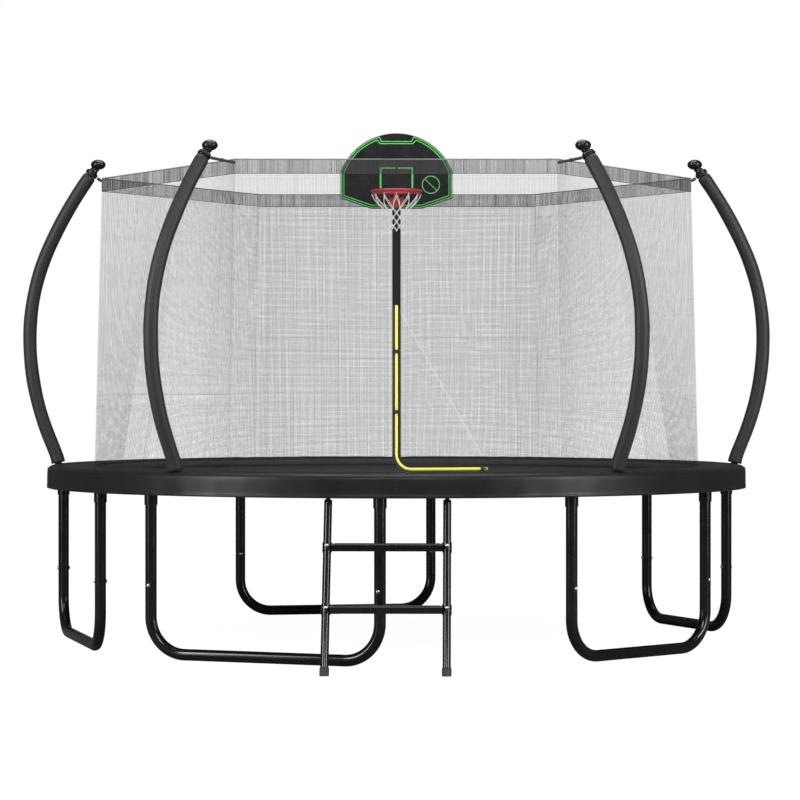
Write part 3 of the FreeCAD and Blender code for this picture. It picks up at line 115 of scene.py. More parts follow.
class TrampolineColours(bpy.types.PropertyGroup):
    """Colours of the finishes."""

    steel_coat: colour_setting(
        "Steel coat", "Gloss coat of the legs, posts and ladder", (0.0035, 0.0035, 0.004))
    pad_cover: colour_setting("Pad cover", "Coated cloth of the padded ring", (0.0066, 0.0066, 0.0070))
    foam_cover: colour_setting("Foam cover", "Foam sleeves of the net poles", (0.014, 0.014, 0.0147))
    net_cord: colour_setting("Net cord", "Strands of the safety net", (0.014, 0.014, 0.015))
    band_grey: colour_setting("Band", "Strands of the band round the net's top", (0.034, 0.034, 0.036))
    zip_yellow: colour_setting("Zip", "Teeth and tape of the door's zip", (0.84, 0.76, 0.10))
    line_green: colour_setting("Board lines", "Lines on the backboard", (0.085, 0.50, 0.090))
    rim_red: colour_setting("Rim", "Coat of the hoop's rim and bracket", (0.30, 0.016, 0.020))
    cord_white: colour_setting("Hoop cords", "Cord net of the hoop", (0.80, 0.80, 0.79))


class TrampolineSizes(bpy.types.PropertyGroup):
    """Sizes of what repeats or is sewn."""

    net_gap: length_setting(
        "Net gap", "Distance between the strands of the safety net", 0.0066, 0.002, 0.05)
    net_strand: length_setting(
        "Net strand", "Mean width of a strand of the safety net", 0.00106, 0.0002, 0.004)
    band_gap: length_setting(
        "Band gap", "Distance between the strands of the band round the net's top", 0.0030, 0.0015, 0.02)
    band_strand: length_setting(
        "Band strand", "Mean width of a strand of the band", 0.00146, 0.0003, 0.004)
    spring_turns: count_setting("Spring turns", "Turns of wire in a spring", 26, 4, 60)
    spring_wire: length_setting("Spring wire", "Diameter of the wire of a spring", 0.0034, 0.001, 0.006)
    pad_sections: count_setting("Pad sections", "Sewn lengths round the padded ring", 8, 2, 24)
    pad_puff: length_setting("Pad crown", "Rise of the foam between two seams", 0.006, 0, 0.02)
    tooth_pitch: length_setting(
        "Zip tooth pitch", "Distance between two teeth of the zip", 0.004, 0.001, 0.02)
    hoop_cord: length_setting("Hoop cord", "Diameter of the hoop's cords", 0.0034, 0.001, 0.01)
    tread_ribs: count_setting("Tread ribs", "Grip ribs along a tread", 5, 1, 12)


class TrampolineStudio(bpy.types.PropertyGroup):
    """Camera and lamps."""

    camera_distance: FloatProperty(
        name="Camera distance", description="From the ring's centre", unit="LENGTH", default=16.038)
    camera_height: FloatProperty(
        name="Camera height", description="Above the ground", unit="LENGTH", default=1.3066)
    lens: FloatProperty(
        name="Lens", description="Focal length on a 36 mm sensor", unit="CAMERA", default=137.0)
    ambient: FloatProperty(
        name="Ambient light", description="Light from all round", default=0.42, min=0, max=2)
    mirrored: FloatProperty(
        name="Mirrored surroundings", description="How bright gloss shows what is all round",
        default=0.10, min=0, max=2)
    lamp_power: FloatProperty(
        name="Lamp power", description="Power of each of the large soft lamps, in watts",
        default=420, min=0, max=5000)


# Nodes and materials

def fill(tree, node, inputs):
    """Link each input of a node that is given a socket or a list of them, and set the others."""
    for key, value in inputs.items():
        if isinstance(value, (bpy.types.NodeSocket, list)):
            for socket in value if isinstance(value, list) else [value]:
                tree.links.new(socket, node.inputs[key])
        else:
            node.inputs[key].default_value = value
    return node


def add(tree, kind, inputs=None, **settings):
    """A new node with its settings and inputs."""
    node = tree.nodes.new(kind)
    for key, value in settings.items():
        setattr(node, key, value)
    return fill(tree, node, inputs or {})


def multiplied(tree, value, factor, added=None):
    """A value times another, with a third added where one is given."""
    inputs, operation = {0: value, 1: factor}, "MULTIPLY"
    if added is not None:
        inputs[2], operation = added, "MULTIPLY_ADD"
    return add(tree, "ShaderNodeMath", inputs, operation=operation).outputs["Value"]


def shader_nodes(name):
    """A new material with its node tree, its output's shader and a reader of Object coordinates."""
    material = bpy.data.materials.new(name)
    material.use_nodes = True
    tree = material.node_tree
    place = add(tree, "ShaderNodeTexCoord").outputs["Object"]
    return material, tree, tree.nodes["Principled BSDF"], place


def noise(tree, place, scale, detail=3.0):
    inputs = {"Scale": scale, "Detail": detail, "Vector": place}
    return add(tree, "ShaderNodeTexNoise", inputs).outputs["Fac"]


def remap(tree, value, low, high):
    """The middle of a noise's range spread from low to high."""
    inputs = {"From Min": 0.3, "From Max": 0.7, "To Min": low, "To Max": high, "Value": value}
    return add(tree, "ShaderNodeMapRange", inputs).outputs["Result"]


def mixed_colour(tree, value, first, second):
    inputs = {"A": (*first, 1), "B": (*second, 1), "Factor": value}
    return add(tree, "ShaderNodeMix", inputs, data_type="RGBA").outputs["Result"]


def bumped(tree, shader, height, strength, distance):
    inputs = {"Strength": strength, "Distance": distance, "Height": height}
    fill(tree, shader, {"Normal": add(tree, "ShaderNodeBump", inputs).outputs["Normal"]})


def scaled(shade, factor):
    return tuple(min(1.0, part * factor) for part in shade)


def clouded(name, shades, roughness, cloud, grain, plain):
    """A finish whose colour and roughness drift between two values, with a fine grain.

    cloud is a noise's scale and detail, grain also the bump's strength and distance, and plain sets
    other inputs of the shader.
    """
    material, tree, shader, place = shader_nodes(name)
    drift = noise(tree, place, *cloud)
    fill(tree, shader, {"Base Color": mixed_colour(tree, drift, *shades),
                        "Roughness": remap(tree, drift, *roughness), **plain})
    bumped(tree, shader, noise(tree, place, *grain[:2]), *grain[2:])
    return material


def coated_metal(name, shade, roughness=0.22, specular=0.5, worn=1.35):
    """Powder coat or enamel: faint orange peel and a little dulling."""
    return clouded(name, (shade, scaled(shade, worn)), (roughness * 0.85, roughness * 1.25), (9,),
                   (900, 2, 0.05, 0.0003), {"Specular IOR Level": specular})


def bare_metal(name, shade, roughness=0.32):
    """Zinc plated steel with faint streaks."""
    return clouded(name, (scaled(shade, 0.82), shade), (roughness * 0.8, roughness * 1.3), (160, 4),
                   (700, 2, 0.06, 0.0002), {"Metallic": 1.0})


def moulded(name, shade, roughness=0.35, specular=0.5, grain=0.1):
    """Moulded plastic or rubber with a fine grain."""
    return clouded(name, (shade, scaled(shade, 1.4)), (roughness * 0.85, roughness * 1.2), (14,),
                   (1300, 3, grain, 0.0003), {"Specular IOR Level": specular})


def woven(name, shade, thread, roughness=0.8, specular=0.25, depth=0.35, sheen=0.0, lighter=1.6):
    """Cloth with crossing threads, painted darker in the hollows between them; thread is their distance in
    metres.
    """
    material, tree, shader, place = shader_nodes(name)
    height = None
    for direction in "XYZ":
        # One band of a wave texture is 2 pi / 20 of a unit wide at scale 1.
        inputs = {"Scale": math.pi / (10 * thread), "Distortion": 0.6, "Detail Scale": 2.0, "Vector": place}
        wave = add(tree, "ShaderNodeTexWave", inputs, bands_direction=direction).outputs["Fac"]
        height = wave if height is None else multiplied(tree, height, wave)
    # The colour follows the threads' height: painted shade in the hollows and lighter raised threads, as far
    # as lighter sets, with a random drift in tone on top.
    weave_shade_and_tone = multiplied(tree, height, 0.6, remap(tree, noise(tree, place, 6, 4), 0, 0.5))
    fill(tree, shader, {
        "Base Color": mixed_colour(tree, weave_shade_and_tone, scaled(shade, 0.85), scaled(shade, lighter)),
        "Roughness": roughness, "Specular IOR Level": specular, "Sheen Weight": sheen})
    bumped(tree, shader, height, depth, thread * 0.3)
    return material


def coated_cloth(name, shade, roughness=0.40, specular=0.3):
    """Coated cloth: a shallow grain, soft wrinkles painted darker in their hollows, and a satin gloss."""
    material, tree, shader, place = shader_nodes(name)
    wrinkle, grain = noise(tree, place, 5, 5), noise(tree, place, 420, 2)
    # The colour follows the wrinkles' height: painted shade in their hollows, lighter on their crests.
    fill(tree, shader, {
        "Base Color": mixed_colour(tree, wrinkle, scaled(shade, 0.85), scaled(shade, 1.35)),
        "Roughness": remap(tree, wrinkle, roughness * 0.85, roughness * 1.2),
        "Specular IOR Level": specular})
    bumped(tree, shader, multiplied(tree, grain, 0.12, wrinkle), 0.25, 0.004)
    return material


FINISHES = {}


def finish_named(name):
    """The material of one finish, made when it is first asked for."""
    if name in FINISHES:
        return FINISHES[name]
    colours = bpy.context.scene.trampoline_colours
    steel, pad, foam, net, band = (tuple(shade) for shade in (
        colours.steel_coat, colours.pad_cover, colours.foam_cover, colours.net_cord, colours.band_grey))
    recipes = {
        "gloss_coat": (coated_metal, steel, 0.18, 0.38),
        "ladder_coat": (coated_metal, steel, 0.10, 0.45, 1.15),
        "hoop_pole_coat": (coated_metal, scaled(steel, 1.2), 0.34, 0.3),
        "rim_coat": (coated_metal, tuple(colours.rim_red), 0.32, 0.45, 1.2),
        "zinc": (bare_metal, (0.70, 0.71, 0.73)),
        "spring_zinc": (bare_metal, (0.52, 0.53, 0.55), 0.38),
        "pad_cover": (coated_cloth, pad),
        # Piping lighter than the cover: a painted highlight along the skirt's top and foot.
        "pad_piping": (coated_cloth, scaled(pad, 1.3), 0.46),
        # Far lighter than the cover: painted light that lifts the shaded inner lip of the pad.
        "pad_binding": (woven, (0.034, 0.034, 0.036), 0.0016, 0.75, 0.3),
        "mat_weave": (woven, (0.016, 0.016, 0.018), 0.003, 0.62, 0.35),
        "foam_cover": (woven, foam, 0.0022, 0.50, 0.35, 0.25, 0.04, 1.4),
        "webbing": (woven, (0.018, 0.018, 0.019), 0.0016, 0.7, 0.3),
        "rod_sleeve": (woven, scaled(band, 4.5), 0.0022, 0.8, 0.2),
        "zip_tape": (woven, tuple(colours.zip_yellow), 0.002, 0.6, 0.3, 0.3, 0.0, 1.12),
        "hoop_cord": (woven, tuple(colours.cord_white), 0.0011, 0.85, 0.2, 0.5, 0.0, 1.1),
        "cap_plastic": (moulded, (0.004, 0.004, 0.0045), 0.24, 0.4, 0.05),
        "saddle_plastic": (moulded, (0.020, 0.020, 0.020), 0.5),
        "net_strand": (moulded, net, 0.7, 0.2),
        "band_strand": (moulded, band, 0.7, 0.2),
        "zip_teeth": (moulded, tuple(colours.zip_yellow), 0.35, 0.5),
        "buckle_plastic": (moulded, (0.012, 0.012, 0.013), 0.38),
        "board_face": (moulded, (0.004, 0.0045, 0.005), 0.24, 0.35, 0.04),
        "board_line": (moulded, tuple(colours.line_green), 0.45, 0.4, 0.03),
        "foot_rubber": (moulded, (0.014, 0.014, 0.014), 0.6, 0.35, 0.2),
    }
    maker, *values = recipes[name]
    FINISHES[name] = maker(name, *values)
    return FINISHES[name]


# Mesh helpers

def polar(radius, azimuth, height=0.0):
    turn = math.radians(azimuth)
    return Vector((radius * math.cos(turn), radius * math.sin(turn), height))


def circle(radius, height, count):
    """Points round the trampoline's own axis."""
    return [polar(radius, 360 * index / count, height) for index in range(count)]


def round_points(centre, side, up, radius, count):
    """Points round a centre in the plane of two directions."""
    turns = [2 * math.pi * index / count for index in range(count)]
    return [centre + (side * math.cos(turn) + up * math.sin(turn)) * radius for turn in turns]


def bell(distance, width):
    return math.exp(-(distance / width) ** 2)


def ease(value):
    value = min(1.0, max(0.0, value))
    return value * value * (3 - 2 * value)


def placed(name, mesh):
    piece = bpy.data.objects.new(name, mesh)
    bpy.context.scene.collection.objects.link(piece)
    return piece


def dressed(name, mesh, finish, smooth=True):
    mesh.materials.clear()
    mesh.materials.append(finish_named(finish))
    for face in mesh.polygons:
        face.use_smooth = smooth
    return placed(name, mesh)


def piece_from(name, points, faces, finish, smooth=True):
    """A mesh object in the row frame, its faces turned outwards."""
    mesh = bpy.data.meshes.new(name)
    mesh.from_pydata([tuple(point) for point in points], [], faces)
    shell = bmesh.new()
    shell.from_mesh(mesh)
    bmesh.ops.recalc_face_normals(shell, faces=shell.faces)
    shell.to_mesh(mesh)
    shell.free()
    return dressed(name, mesh, finish, smooth)


def modified_mesh(piece):
    """The plain mesh that a piece's modifiers make of it."""
    shapes = bpy.context.evaluated_depsgraph_get()
    shapes.update()
    return bpy.data.meshes.new_from_object(piece.evaluated_get(shapes))


def put_on(piece, body, slot, *nodes):
    """Let a piece ride on a body and stand for CAD nodes, which it hides; slot is not used."""
    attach(piece, body)
    if nodes:
        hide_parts(*nodes)
    return piece


def recoat(finish, *nodes):
    """Give CAD nodes that keep their shape a finish."""
    for name in nodes:
        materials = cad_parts[name].data.materials
        materials.clear()
        materials.append(finish_named(finish))


def grid_faces(rows, columns, wrap_rows=False, wrap_columns=False):
    faces = []
    for row in range(rows if wrap_rows else rows - 1):
        for column in range(columns if wrap_columns else columns - 1):
            after, beside = (row + 1) % rows, (column + 1) % columns
            faces.append((row * columns + column, row * columns + beside,
                          after * columns + beside, after * columns + column))
    return faces


def ended_faces(rows, sides):
    """Faces of a round bar of so many rows, with its two ends."""
    first = (rows - 1) * sides
    ends = [tuple(range(sides)), tuple(range(first, first + sides))]
    return grid_faces(rows, sides, wrap_columns=True) + ends


def frames_along(path):
    """Directions along a path, each with two others square to it that turn as little as they can."""
    frames, side = [], None
    for index in range(len(path)):
        before, after = path[max(0, index - 1)], path[min(len(path) - 1, index + 1)]
        ahead = (Vector(after) - Vector(before)).normalized()
        if side is None:
            side = ahead.orthogonal().normalized()
        side = (side - ahead * side.dot(ahead)).normalized()
        frames.append((ahead, side, ahead.cross(side)))
    return frames


def tube_points(path, radii, sides):
    points = []
    for spot, radius, (_, side, up) in zip(path, radii, frames_along(path)):
        points += round_points(Vector(spot), side, up, radius, sides)
    return points


def tube(name, path, radius, finish, sides=16):
    """A round bar along a path, closed at its ends; radius is one for all spots or one for each."""
    radii = radius if isinstance(radius, list) else [radius] * len(path)
    return piece_from(name, tube_points(path, radii, sides), ended_faces(len(path), sides), finish)


def turned(name, profile, base, axis, finish, sides=40):
    """A lathe piece: profile gives (height, radius) along an axis from a base point."""
    axis = Vector(axis).normalized()
    side = axis.orthogonal().normalized()
    up = axis.cross(side)
    points = []
    for height, radius in profile:
        points += round_points(Vector(base) + axis * height, side, up, radius, sides)
    return piece_from(name, points, ended_faces(len(profile), sides), finish)


def ring_piece(name, outline, count, finish):
    """A closed outline of (radius, height) swept round the trampoline's own axis."""
    points = [point for radius, height in outline for point in circle(radius, height, count)]
    return piece_from(name, points, grid_faces(len(outline), count, True, True), finish)


def joined(name, pieces):
    """Several mesh objects as one."""
    mesh = bpy.data.meshes.new(name)
    whole = bmesh.new()
    for piece in pieces:
        whole.from_mesh(piece.data)
    whole.to_mesh(mesh)
    whole.free()
    mesh.materials.append(pieces[0].data.materials[0])
    for piece in pieces:
        bpy.data.objects.remove(piece)
    return placed(name, mesh)


def block(name, centre, axes, size, finish, round_edges=0.0):
    """A bar with three given axes; round_edges softens it."""
    ends = (-0.5, 0.5)
    points = [Vector(centre) + axes[0] * size[0] * dx + axes[1] * size[1] * dy + axes[2] * size[2] * dz
              for dx in ends for dy in ends for dz in ends]
    faces = [(0, 1, 3, 2), (4, 6, 7, 5), (0, 4, 5, 1), (2, 3, 7, 6), (0, 2, 6, 4), (1, 5, 7, 3)]
    piece = piece_from(name, points, faces, finish, smooth=False)
    if round_edges:
        bevel = piece.modifiers.new("Bevel", "BEVEL")
        bevel.width, bevel.segments, bevel.limit_method = round_edges, 2, "ANGLE"
        mesh = modified_mesh(piece)
        piece.modifiers.clear()
        piece.data = mesh
    return piece


def flat_band(name, edges, half_thick, place, finish, closed=False):
    """A flat band on a plane: edges holds both edges of each spot, and place lifts a plane's point."""
    points = [place(edge, lift) for pair in edges for edge in pair for lift in (-half_thick, half_thick)]
    count, faces = len(edges), []
    for index in range(count if closed else count - 1):
        a, b = 4 * index, 4 * ((index + 1) % count)
        faces += [(a, a + 2, b + 2, b), (a + 1, b + 1, b + 3, a + 3), (a, b, b + 1, a + 1),
                  (a + 2, a + 3, b + 3, b + 2)]
    if not closed:
        end = 4 * count
        faces += [(0, 1, 3, 2), (end - 4, end - 2, end - 1, end - 3)]
    return piece_from(name, points, faces, finish, smooth=False)


def domed_nut(name, radius, height):
    """A washer with a domed nut on it, standing on +Z."""
    waist, washer = radius * 0.82, 0.0015
    profile = [(0.0, radius * 0.3), (0.0, radius), (0.0008, radius * 1.04), (0.0014, radius), (washer, waist)]
    for index in range(8):
        angle = math.radians(index * 12)
        profile.append((washer + (height - washer) * math.sin(angle), waist * math.cos(angle) + 0.00001))
    return turned(name, profile, (0, 0, 0), UP, "zinc", 20)


# Geometry Nodes

def tree_named(name, sockets, build):
    """A tree that is made when it is first asked for.

    build adds nodes that use the outputs of the given sockets and returns its geometry, which then
    becomes real and gets its material.
    """
    if name in bpy.data.node_groups:
        return bpy.data.node_groups[name]
    tree = bpy.data.node_groups.new(name, "GeometryNodeTree")
    for label, kind in [("Geometry", "Geometry"), *sockets, ("Material", "Material")]:
        tree.interface.new_socket(name=label, in_out="INPUT", socket_type="NodeSocket" + kind)
    tree.interface.new_socket(name="Geometry", in_out="OUTPUT", socket_type="NodeSocketGeometry")
    given = add(tree, "NodeGroupInput").outputs
    real = add(tree, "GeometryNodeRealizeInstances", {"Geometry": build(tree, given)}).outputs["Geometry"]
    coat = add(tree, "GeometryNodeSetMaterial", {"Geometry": real, "Material": given["Material"]})
    add(tree, "NodeGroupOutput", {"Geometry": coat.outputs["Geometry"]})
    return tree


def attribute(tree, name, kind):
    return add(tree, "GeometryNodeInputNamedAttribute", {"Name": name}, data_type=kind).outputs["Attribute"]


def rotation(tree, angles):
    return add(tree, "FunctionNodeEulerToRotation", {"Euler": angles}).outputs["Rotation"]


def upwards(tree, height):
    return add(tree, "ShaderNodeCombineXYZ", {"Z": height}).outputs["Vector"]


def swept(tree, curve, radius, sides, **more):
    """A round section swept along a curve."""
    section = add(tree, "GeometryNodeCurvePrimitiveCircle", {"Resolution": sides, "Radius": radius})
    inputs = {"Curve": curve, "Profile Curve": section.outputs["Curve"], "Fill Caps": True, **more}
    return add(tree, "GeometryNodeCurveToMesh", inputs).outputs["Mesh"]


def copied(tree, points, original, **more):
    """A geometry on every point, turned by the attribute turn."""
    turn = rotation(tree, attribute(tree, "turn", "FLOAT_VECTOR"))
    inputs = {"Points": points, "Instance": original, "Rotation": turn, **more}
    return add(tree, "GeometryNodeInstanceOnPoints", inputs).outputs["Instances"]


def strand_nodes(tree, given):
    """Sweeps a round section along every line of a mesh; the attribute thick gives its radius."""
    lines = add(tree, "GeometryNodeMeshToCurve", {"Mesh": given["Geometry"]}).outputs["Curve"]
    return swept(tree, lines, given["Scale"], given["Sides"], Scale=attribute(tree, "thick", "FLOAT"))


def copy_nodes(tree, given):
    """Puts a copy of an object on every point of a mesh."""
    piece = add(tree, "GeometryNodeObjectInfo", {"Object": given["Piece"]}).outputs["Geometry"]
    return copied(tree, given["Geometry"], piece, Scale=given["Scale"])


def spring_nodes(tree, given):
    """Puts a coil with two straight hooks on every point of a mesh."""
    coil = add(tree, "GeometryNodeCurveSpiral", {
        "Resolution": 12, "Rotations": given["Turns"], "Start Radius": given["Coil Radius"],
        "End Radius": given["Coil Radius"], "Height": given["Coil Length"]}).outputs["Curve"]
    lifted = add(tree, "GeometryNodeTransform", {
        "Geometry": coil, "Translation": upwards(tree, given["Hook Length"])}).outputs["Geometry"]
    whole = multiplied(tree, given["Hook Length"], 2.0, given["Coil Length"])
    hooks = add(tree, "GeometryNodeCurvePrimitiveLine", {"End": upwards(tree, whole)}).outputs["Curve"]
    both = add(tree, "GeometryNodeJoinGeometry", {"Geometry": [lifted, hooks]}).outputs["Geometry"]
    laid = add(tree, "GeometryNodeTransform", {
        "Geometry": swept(tree, both, given["Wire Radius"], 6), "Translation": given["Start"],
        "Rotation": rotation(tree, given["Tilt"])}).outputs["Geometry"]
    return copied(tree, given["Geometry"], laid)


def grown(name, base, tree, finish, **sizes):
    """The plain mesh that a tree makes of a base mesh."""
    carrier = placed(name + "_base", base)
    modifier = carrier.modifiers.new("Grow", "NODES")
    modifier.node_group = tree
    wanted = dict(sizes, Material=finish_named(finish))
    for socket in tree.interface.items_tree:
        label = socket.name.replace(" ", "_")
        if socket.in_out == "INPUT" and label in wanted:
            modifier[socket.identifier] = wanted[label]
    mesh = modified_mesh(carrier)
    mesh.name = name
    bpy.data.objects.remove(carrier)
    for label in ("thick", "turn"):
        if label in mesh.attributes:
            mesh.attributes.remove(mesh.attributes[label])
    return dressed(name, mesh, finish)


def strands(name, lines, finish, sides=3):
    """Round strands along open or closed lines, each given as (points, radius, closed)."""
    points, edges, thick = [], [], []
    for spots, radius, closed in lines:
        first = len(points)
        points += [tuple(spot) for spot in spots]
        thick += [radius] * len(spots)
        edges += [(first + index, first + index + 1) for index in range(len(spots) - 1)]
        if closed:
            edges.append((len(points) - 1, first))
    mesh = bpy.data.meshes.new("lines")
    mesh.from_pydata(points, edges, [])
    mesh.attributes.new("thick", "FLOAT", "POINT").data.foreach_set("value", thick)
    tree = tree_named("Strands along lines", [("Sides", "Int"), ("Scale", "Float")], strand_nodes)
    return grown(name, mesh, tree, finish, Sides=sides, Scale=1.0)


def points_mesh(places):
    """A mesh of points, each with a rotation matrix kept as its turn."""
    mesh = bpy.data.meshes.new("points")
    mesh.from_pydata([tuple(spot) for spot, _ in places], [], [])
    turns = [angle for _, matrix in places for angle in matrix.to_euler("XYZ")]
    mesh.attributes.new("turn", "FLOAT_VECTOR", "POINT").data.foreach_set("vector", turns)
    return mesh


def copies(name, original, places, finish):
    """Copies of an object at places, as one plain mesh; the original goes."""
    tree = tree_named("Copies at points", [("Piece", "Object"), ("Scale", "Float")], copy_nodes)
    piece = grown(name, points_mesh(places), tree, finish, Piece=original, Scale=1.0)
    bpy.data.objects.remove(original)
    return piece


def axes_matrix(*axes):
    return Matrix(axes).transposed()


def level_turn(angle):
    return Euler((0, 0, angle)).to_matrix()


def facing(axis):
    """A rotation that turns +Z to an axis."""
    return UP.rotation_difference(Vector(axis)).to_matrix()


# Where things are

def pole_path(short=0.0):
    """Points along a pole's centre line in its own plane, as (outward, height, lean in degrees).

    short is the angle left out at its upper end.
    """
    out, up, lean = 0.0, POLE_FOOT_HEIGHT, 0.0
    spots = [(out, up, lean)]
    last_size, last_turn = POLE_STRETCHES[-1]
    for size, turn in [*POLE_STRETCHES[:-1], (last_size, last_turn + short)]:
        length = size * math.radians(abs(turn)) if turn else size
        count = max(2, int(round(length / POLE_STEP)))
        for _ in range(count):
            half = turn / count / 2
            angle = math.radians(lean + half)
            out += math.sin(angle) * length / count
            up += math.cos(angle) * length / count
            lean += 2 * half
            spots.append((out, up, lean))
    return spots


def pole_points(number, spots):
    """Points of a pole's plane as points of the row frame."""
    azimuth, direction = POLE_PLANES[number]
    foot, ray = polar(POLE_FOOT_RADIUS, azimuth), polar(1, direction)
    return [foot + ray * out + Vector((0, 0, up)) for out, up, _ in spots]


def cap_seat(number, path):
    """Where a cap sits on its pole, and the direction of the pole's upper end."""
    lean = math.radians(path[-1][2])
    axis = polar(1, POLE_PLANES[number][1]) * math.sin(lean) + Vector((0, 0, math.cos(lean)))
    return pole_points(number, [path[-1]])[0] + axis * CAP_GAP, axis


def net_corner(side, height):
    return polar(NET_TOP_RADIUS, 60 * side, height)


def net_corners(panel):
    """Foot and top of a net panel's left side, middle and right side."""
    foot = [polar(NET_FOOT_RADIUS, 30 * (2 * panel + step), NET_FOOT) for step in range(3)]
    left, right = (net_corner(side, NET_TOP - BAND_HEIGHT) for side in (panel, panel + 1))
    return foot, [left, (left + right) / 2, right]


def middle_point(panel, height):
    """The point of a panel's upright middle line at a height."""
    foot, top = net_corners(panel)
    low, high = foot[1], top[1]
    return low.lerp(high, (height - low.z) / (high.z - low.z))


def ruled_point(panel, across, up):
    """A point of a net panel: across from -1 to 1, up from 0 to 1."""
    foot, top = net_corners(panel)
    side, share = 2 if across > 0 else 0, abs(across)
    return foot[1].lerp(foot[side], share).lerp(top[1].lerp(top[side], share), up)


def seen_aslant(side):
    """Whether a side of the hexagon stands aslant to the front; its strands stand further apart."""
    return side % 3 != 1


def spread(side, share):
    """Where an upright at a share of a side stands: further apart towards the far left and right."""
    if not seen_aslant(side):
        return share
    outer = share if side in (2, 5) else 1 - share
    outer += NET_SPREAD * outer * (outer - 1)
    return outer if side in (2, 5) else 1 - outer


class DoorPlane:
    """The flap's plane: its corner, its run along the zip's foot, its rise and its outward side."""

    def __init__(self):
        foot, _ = net_corners(DOOR_PANEL)
        self.corner = middle_point(DOOR_PANEL, ZIP_FOOT)
        self.peak = middle_point(DOOR_PANEL, ZIP_TOP)
        self.run = (foot[2] - foot[1]).normalized()
        self.outward = self.run.cross(self.peak - self.corner).normalized()
        self.rise = self.outward.cross(self.run)
        self.reach = self.corner + self.run * ZIP_REACH
        self.fold = (self.reach - self.peak).normalized()
        self.into = self.outward.cross(self.fold)
        if self.into.dot(self.corner - self.peak) < 0:
            self.into = -self.into
        self.axes = [self.run, self.rise, self.outward]
        self.flat_peak = Vector(self.flat(self.peak))
        self.slant = self.flat_peak.normalized()

    def flat(self, point):
        offset = point - self.corner
        return offset.dot(self.run), offset.dot(self.rise)

    def depth(self, point):
        """How far a point is on the flap's side of the fold line."""
        return (point - self.peak).dot(self.into)

    def at(self, along, rise, lift=0.0):
        return self.corner + self.run * along + self.rise * rise + self.outward * lift

    def lifted(self, flat, lift):
        return self.at(flat.x, flat.y, lift)


DOOR = DoorPlane()
FLAP_REACH = 0.35


def net_point(panel, across, up):
    """A point of the net, drawn smoothly onto the flap's plane near the door."""
    point = ruled_point(panel, across, up)
    if panel != DOOR_PANEL or across <= 0:
        return point
    off = (point - DOOR.corner).dot(DOOR.outward)
    along, rise = DOOR.flat(point)
    if along > 0 and rise > 0 and DOOR.depth(point) > 0:
        return point - DOOR.outward * off
    length = (DOOR.reach - DOOR.peak).length
    share = min(1.0, max(0.0, (point - DOOR.peak).dot(DOOR.fold) / length))
    away = (point - DOOR.peak - DOOR.fold * share * length).length
    return point - DOOR.outward * off * (1 - ease(away / FLAP_REACH))


def zip_offset(along, rise):
    """Distance from the zip's middle line, more than 0 on the flap's side."""
    beside = along * DOOR.slant.y - rise * DOOR.slant.x
    if beside < ZIP_CORNER and rise < ZIP_CORNER:
        return ZIP_CORNER - Vector((ZIP_CORNER - beside, ZIP_CORNER - rise)).length
    return min(beside, rise)


def zip_line(spacing):
    """Points along the zip's middle line from the end of its foot to its top."""
    start, bend = Vector((ZIP_REACH - ZIP_END_GAP, 0)), Vector((ZIP_CORNER, 0))
    rising, peak = DOOR.slant * ZIP_CORNER, DOOR.flat_peak * ZIP_TOP_SHARE
    centre = Vector((ZIP_CORNER * (1 + DOOR.slant.x), ZIP_CORNER))
    spots = []

    def straight(first, last):
        count = max(1, int(round((last - first).length / spacing)))
        spots.extend(first.lerp(last, index / count) for index in range(count))

    straight(start, bend)
    first, last = (math.atan2(spot.y - centre.y, spot.x - centre.x) for spot in (bend, rising))
    if last > first:
        last -= 2 * math.pi
    radius = (bend - centre).length
    turns = max(6, int(ZIP_CORNER * math.pi / 2 / spacing))
    for index in range(turns):
        angle = first + (last - first) * index / turns
        spots.append(centre + Vector((math.cos(angle), math.sin(angle))) * radius)
    straight(rising, peak)
    return [*spots, peak]


def zip_band(name, line, low, highs, thick, finish):
    """A flat band along the zip between two offsets; more than 0 is on the flap's side."""
    edges = []
    for index, (spot, high) in enumerate(zip(line, highs)):
        before, after = line[max(0, index - 1)], line[min(len(line) - 1, index + 1)]
        ahead = (after - before).normalized()
        aside = Vector((-ahead.y, ahead.x))
        probe = aside * 0.01
        if zip_offset(*(spot + probe)) < zip_offset(*(spot - probe)):
            aside = -aside
        edges.append((spot + aside * low, spot + aside * high))
    return flat_band(name, edges, thick / 2, DOOR.lifted, finish)


# Operators

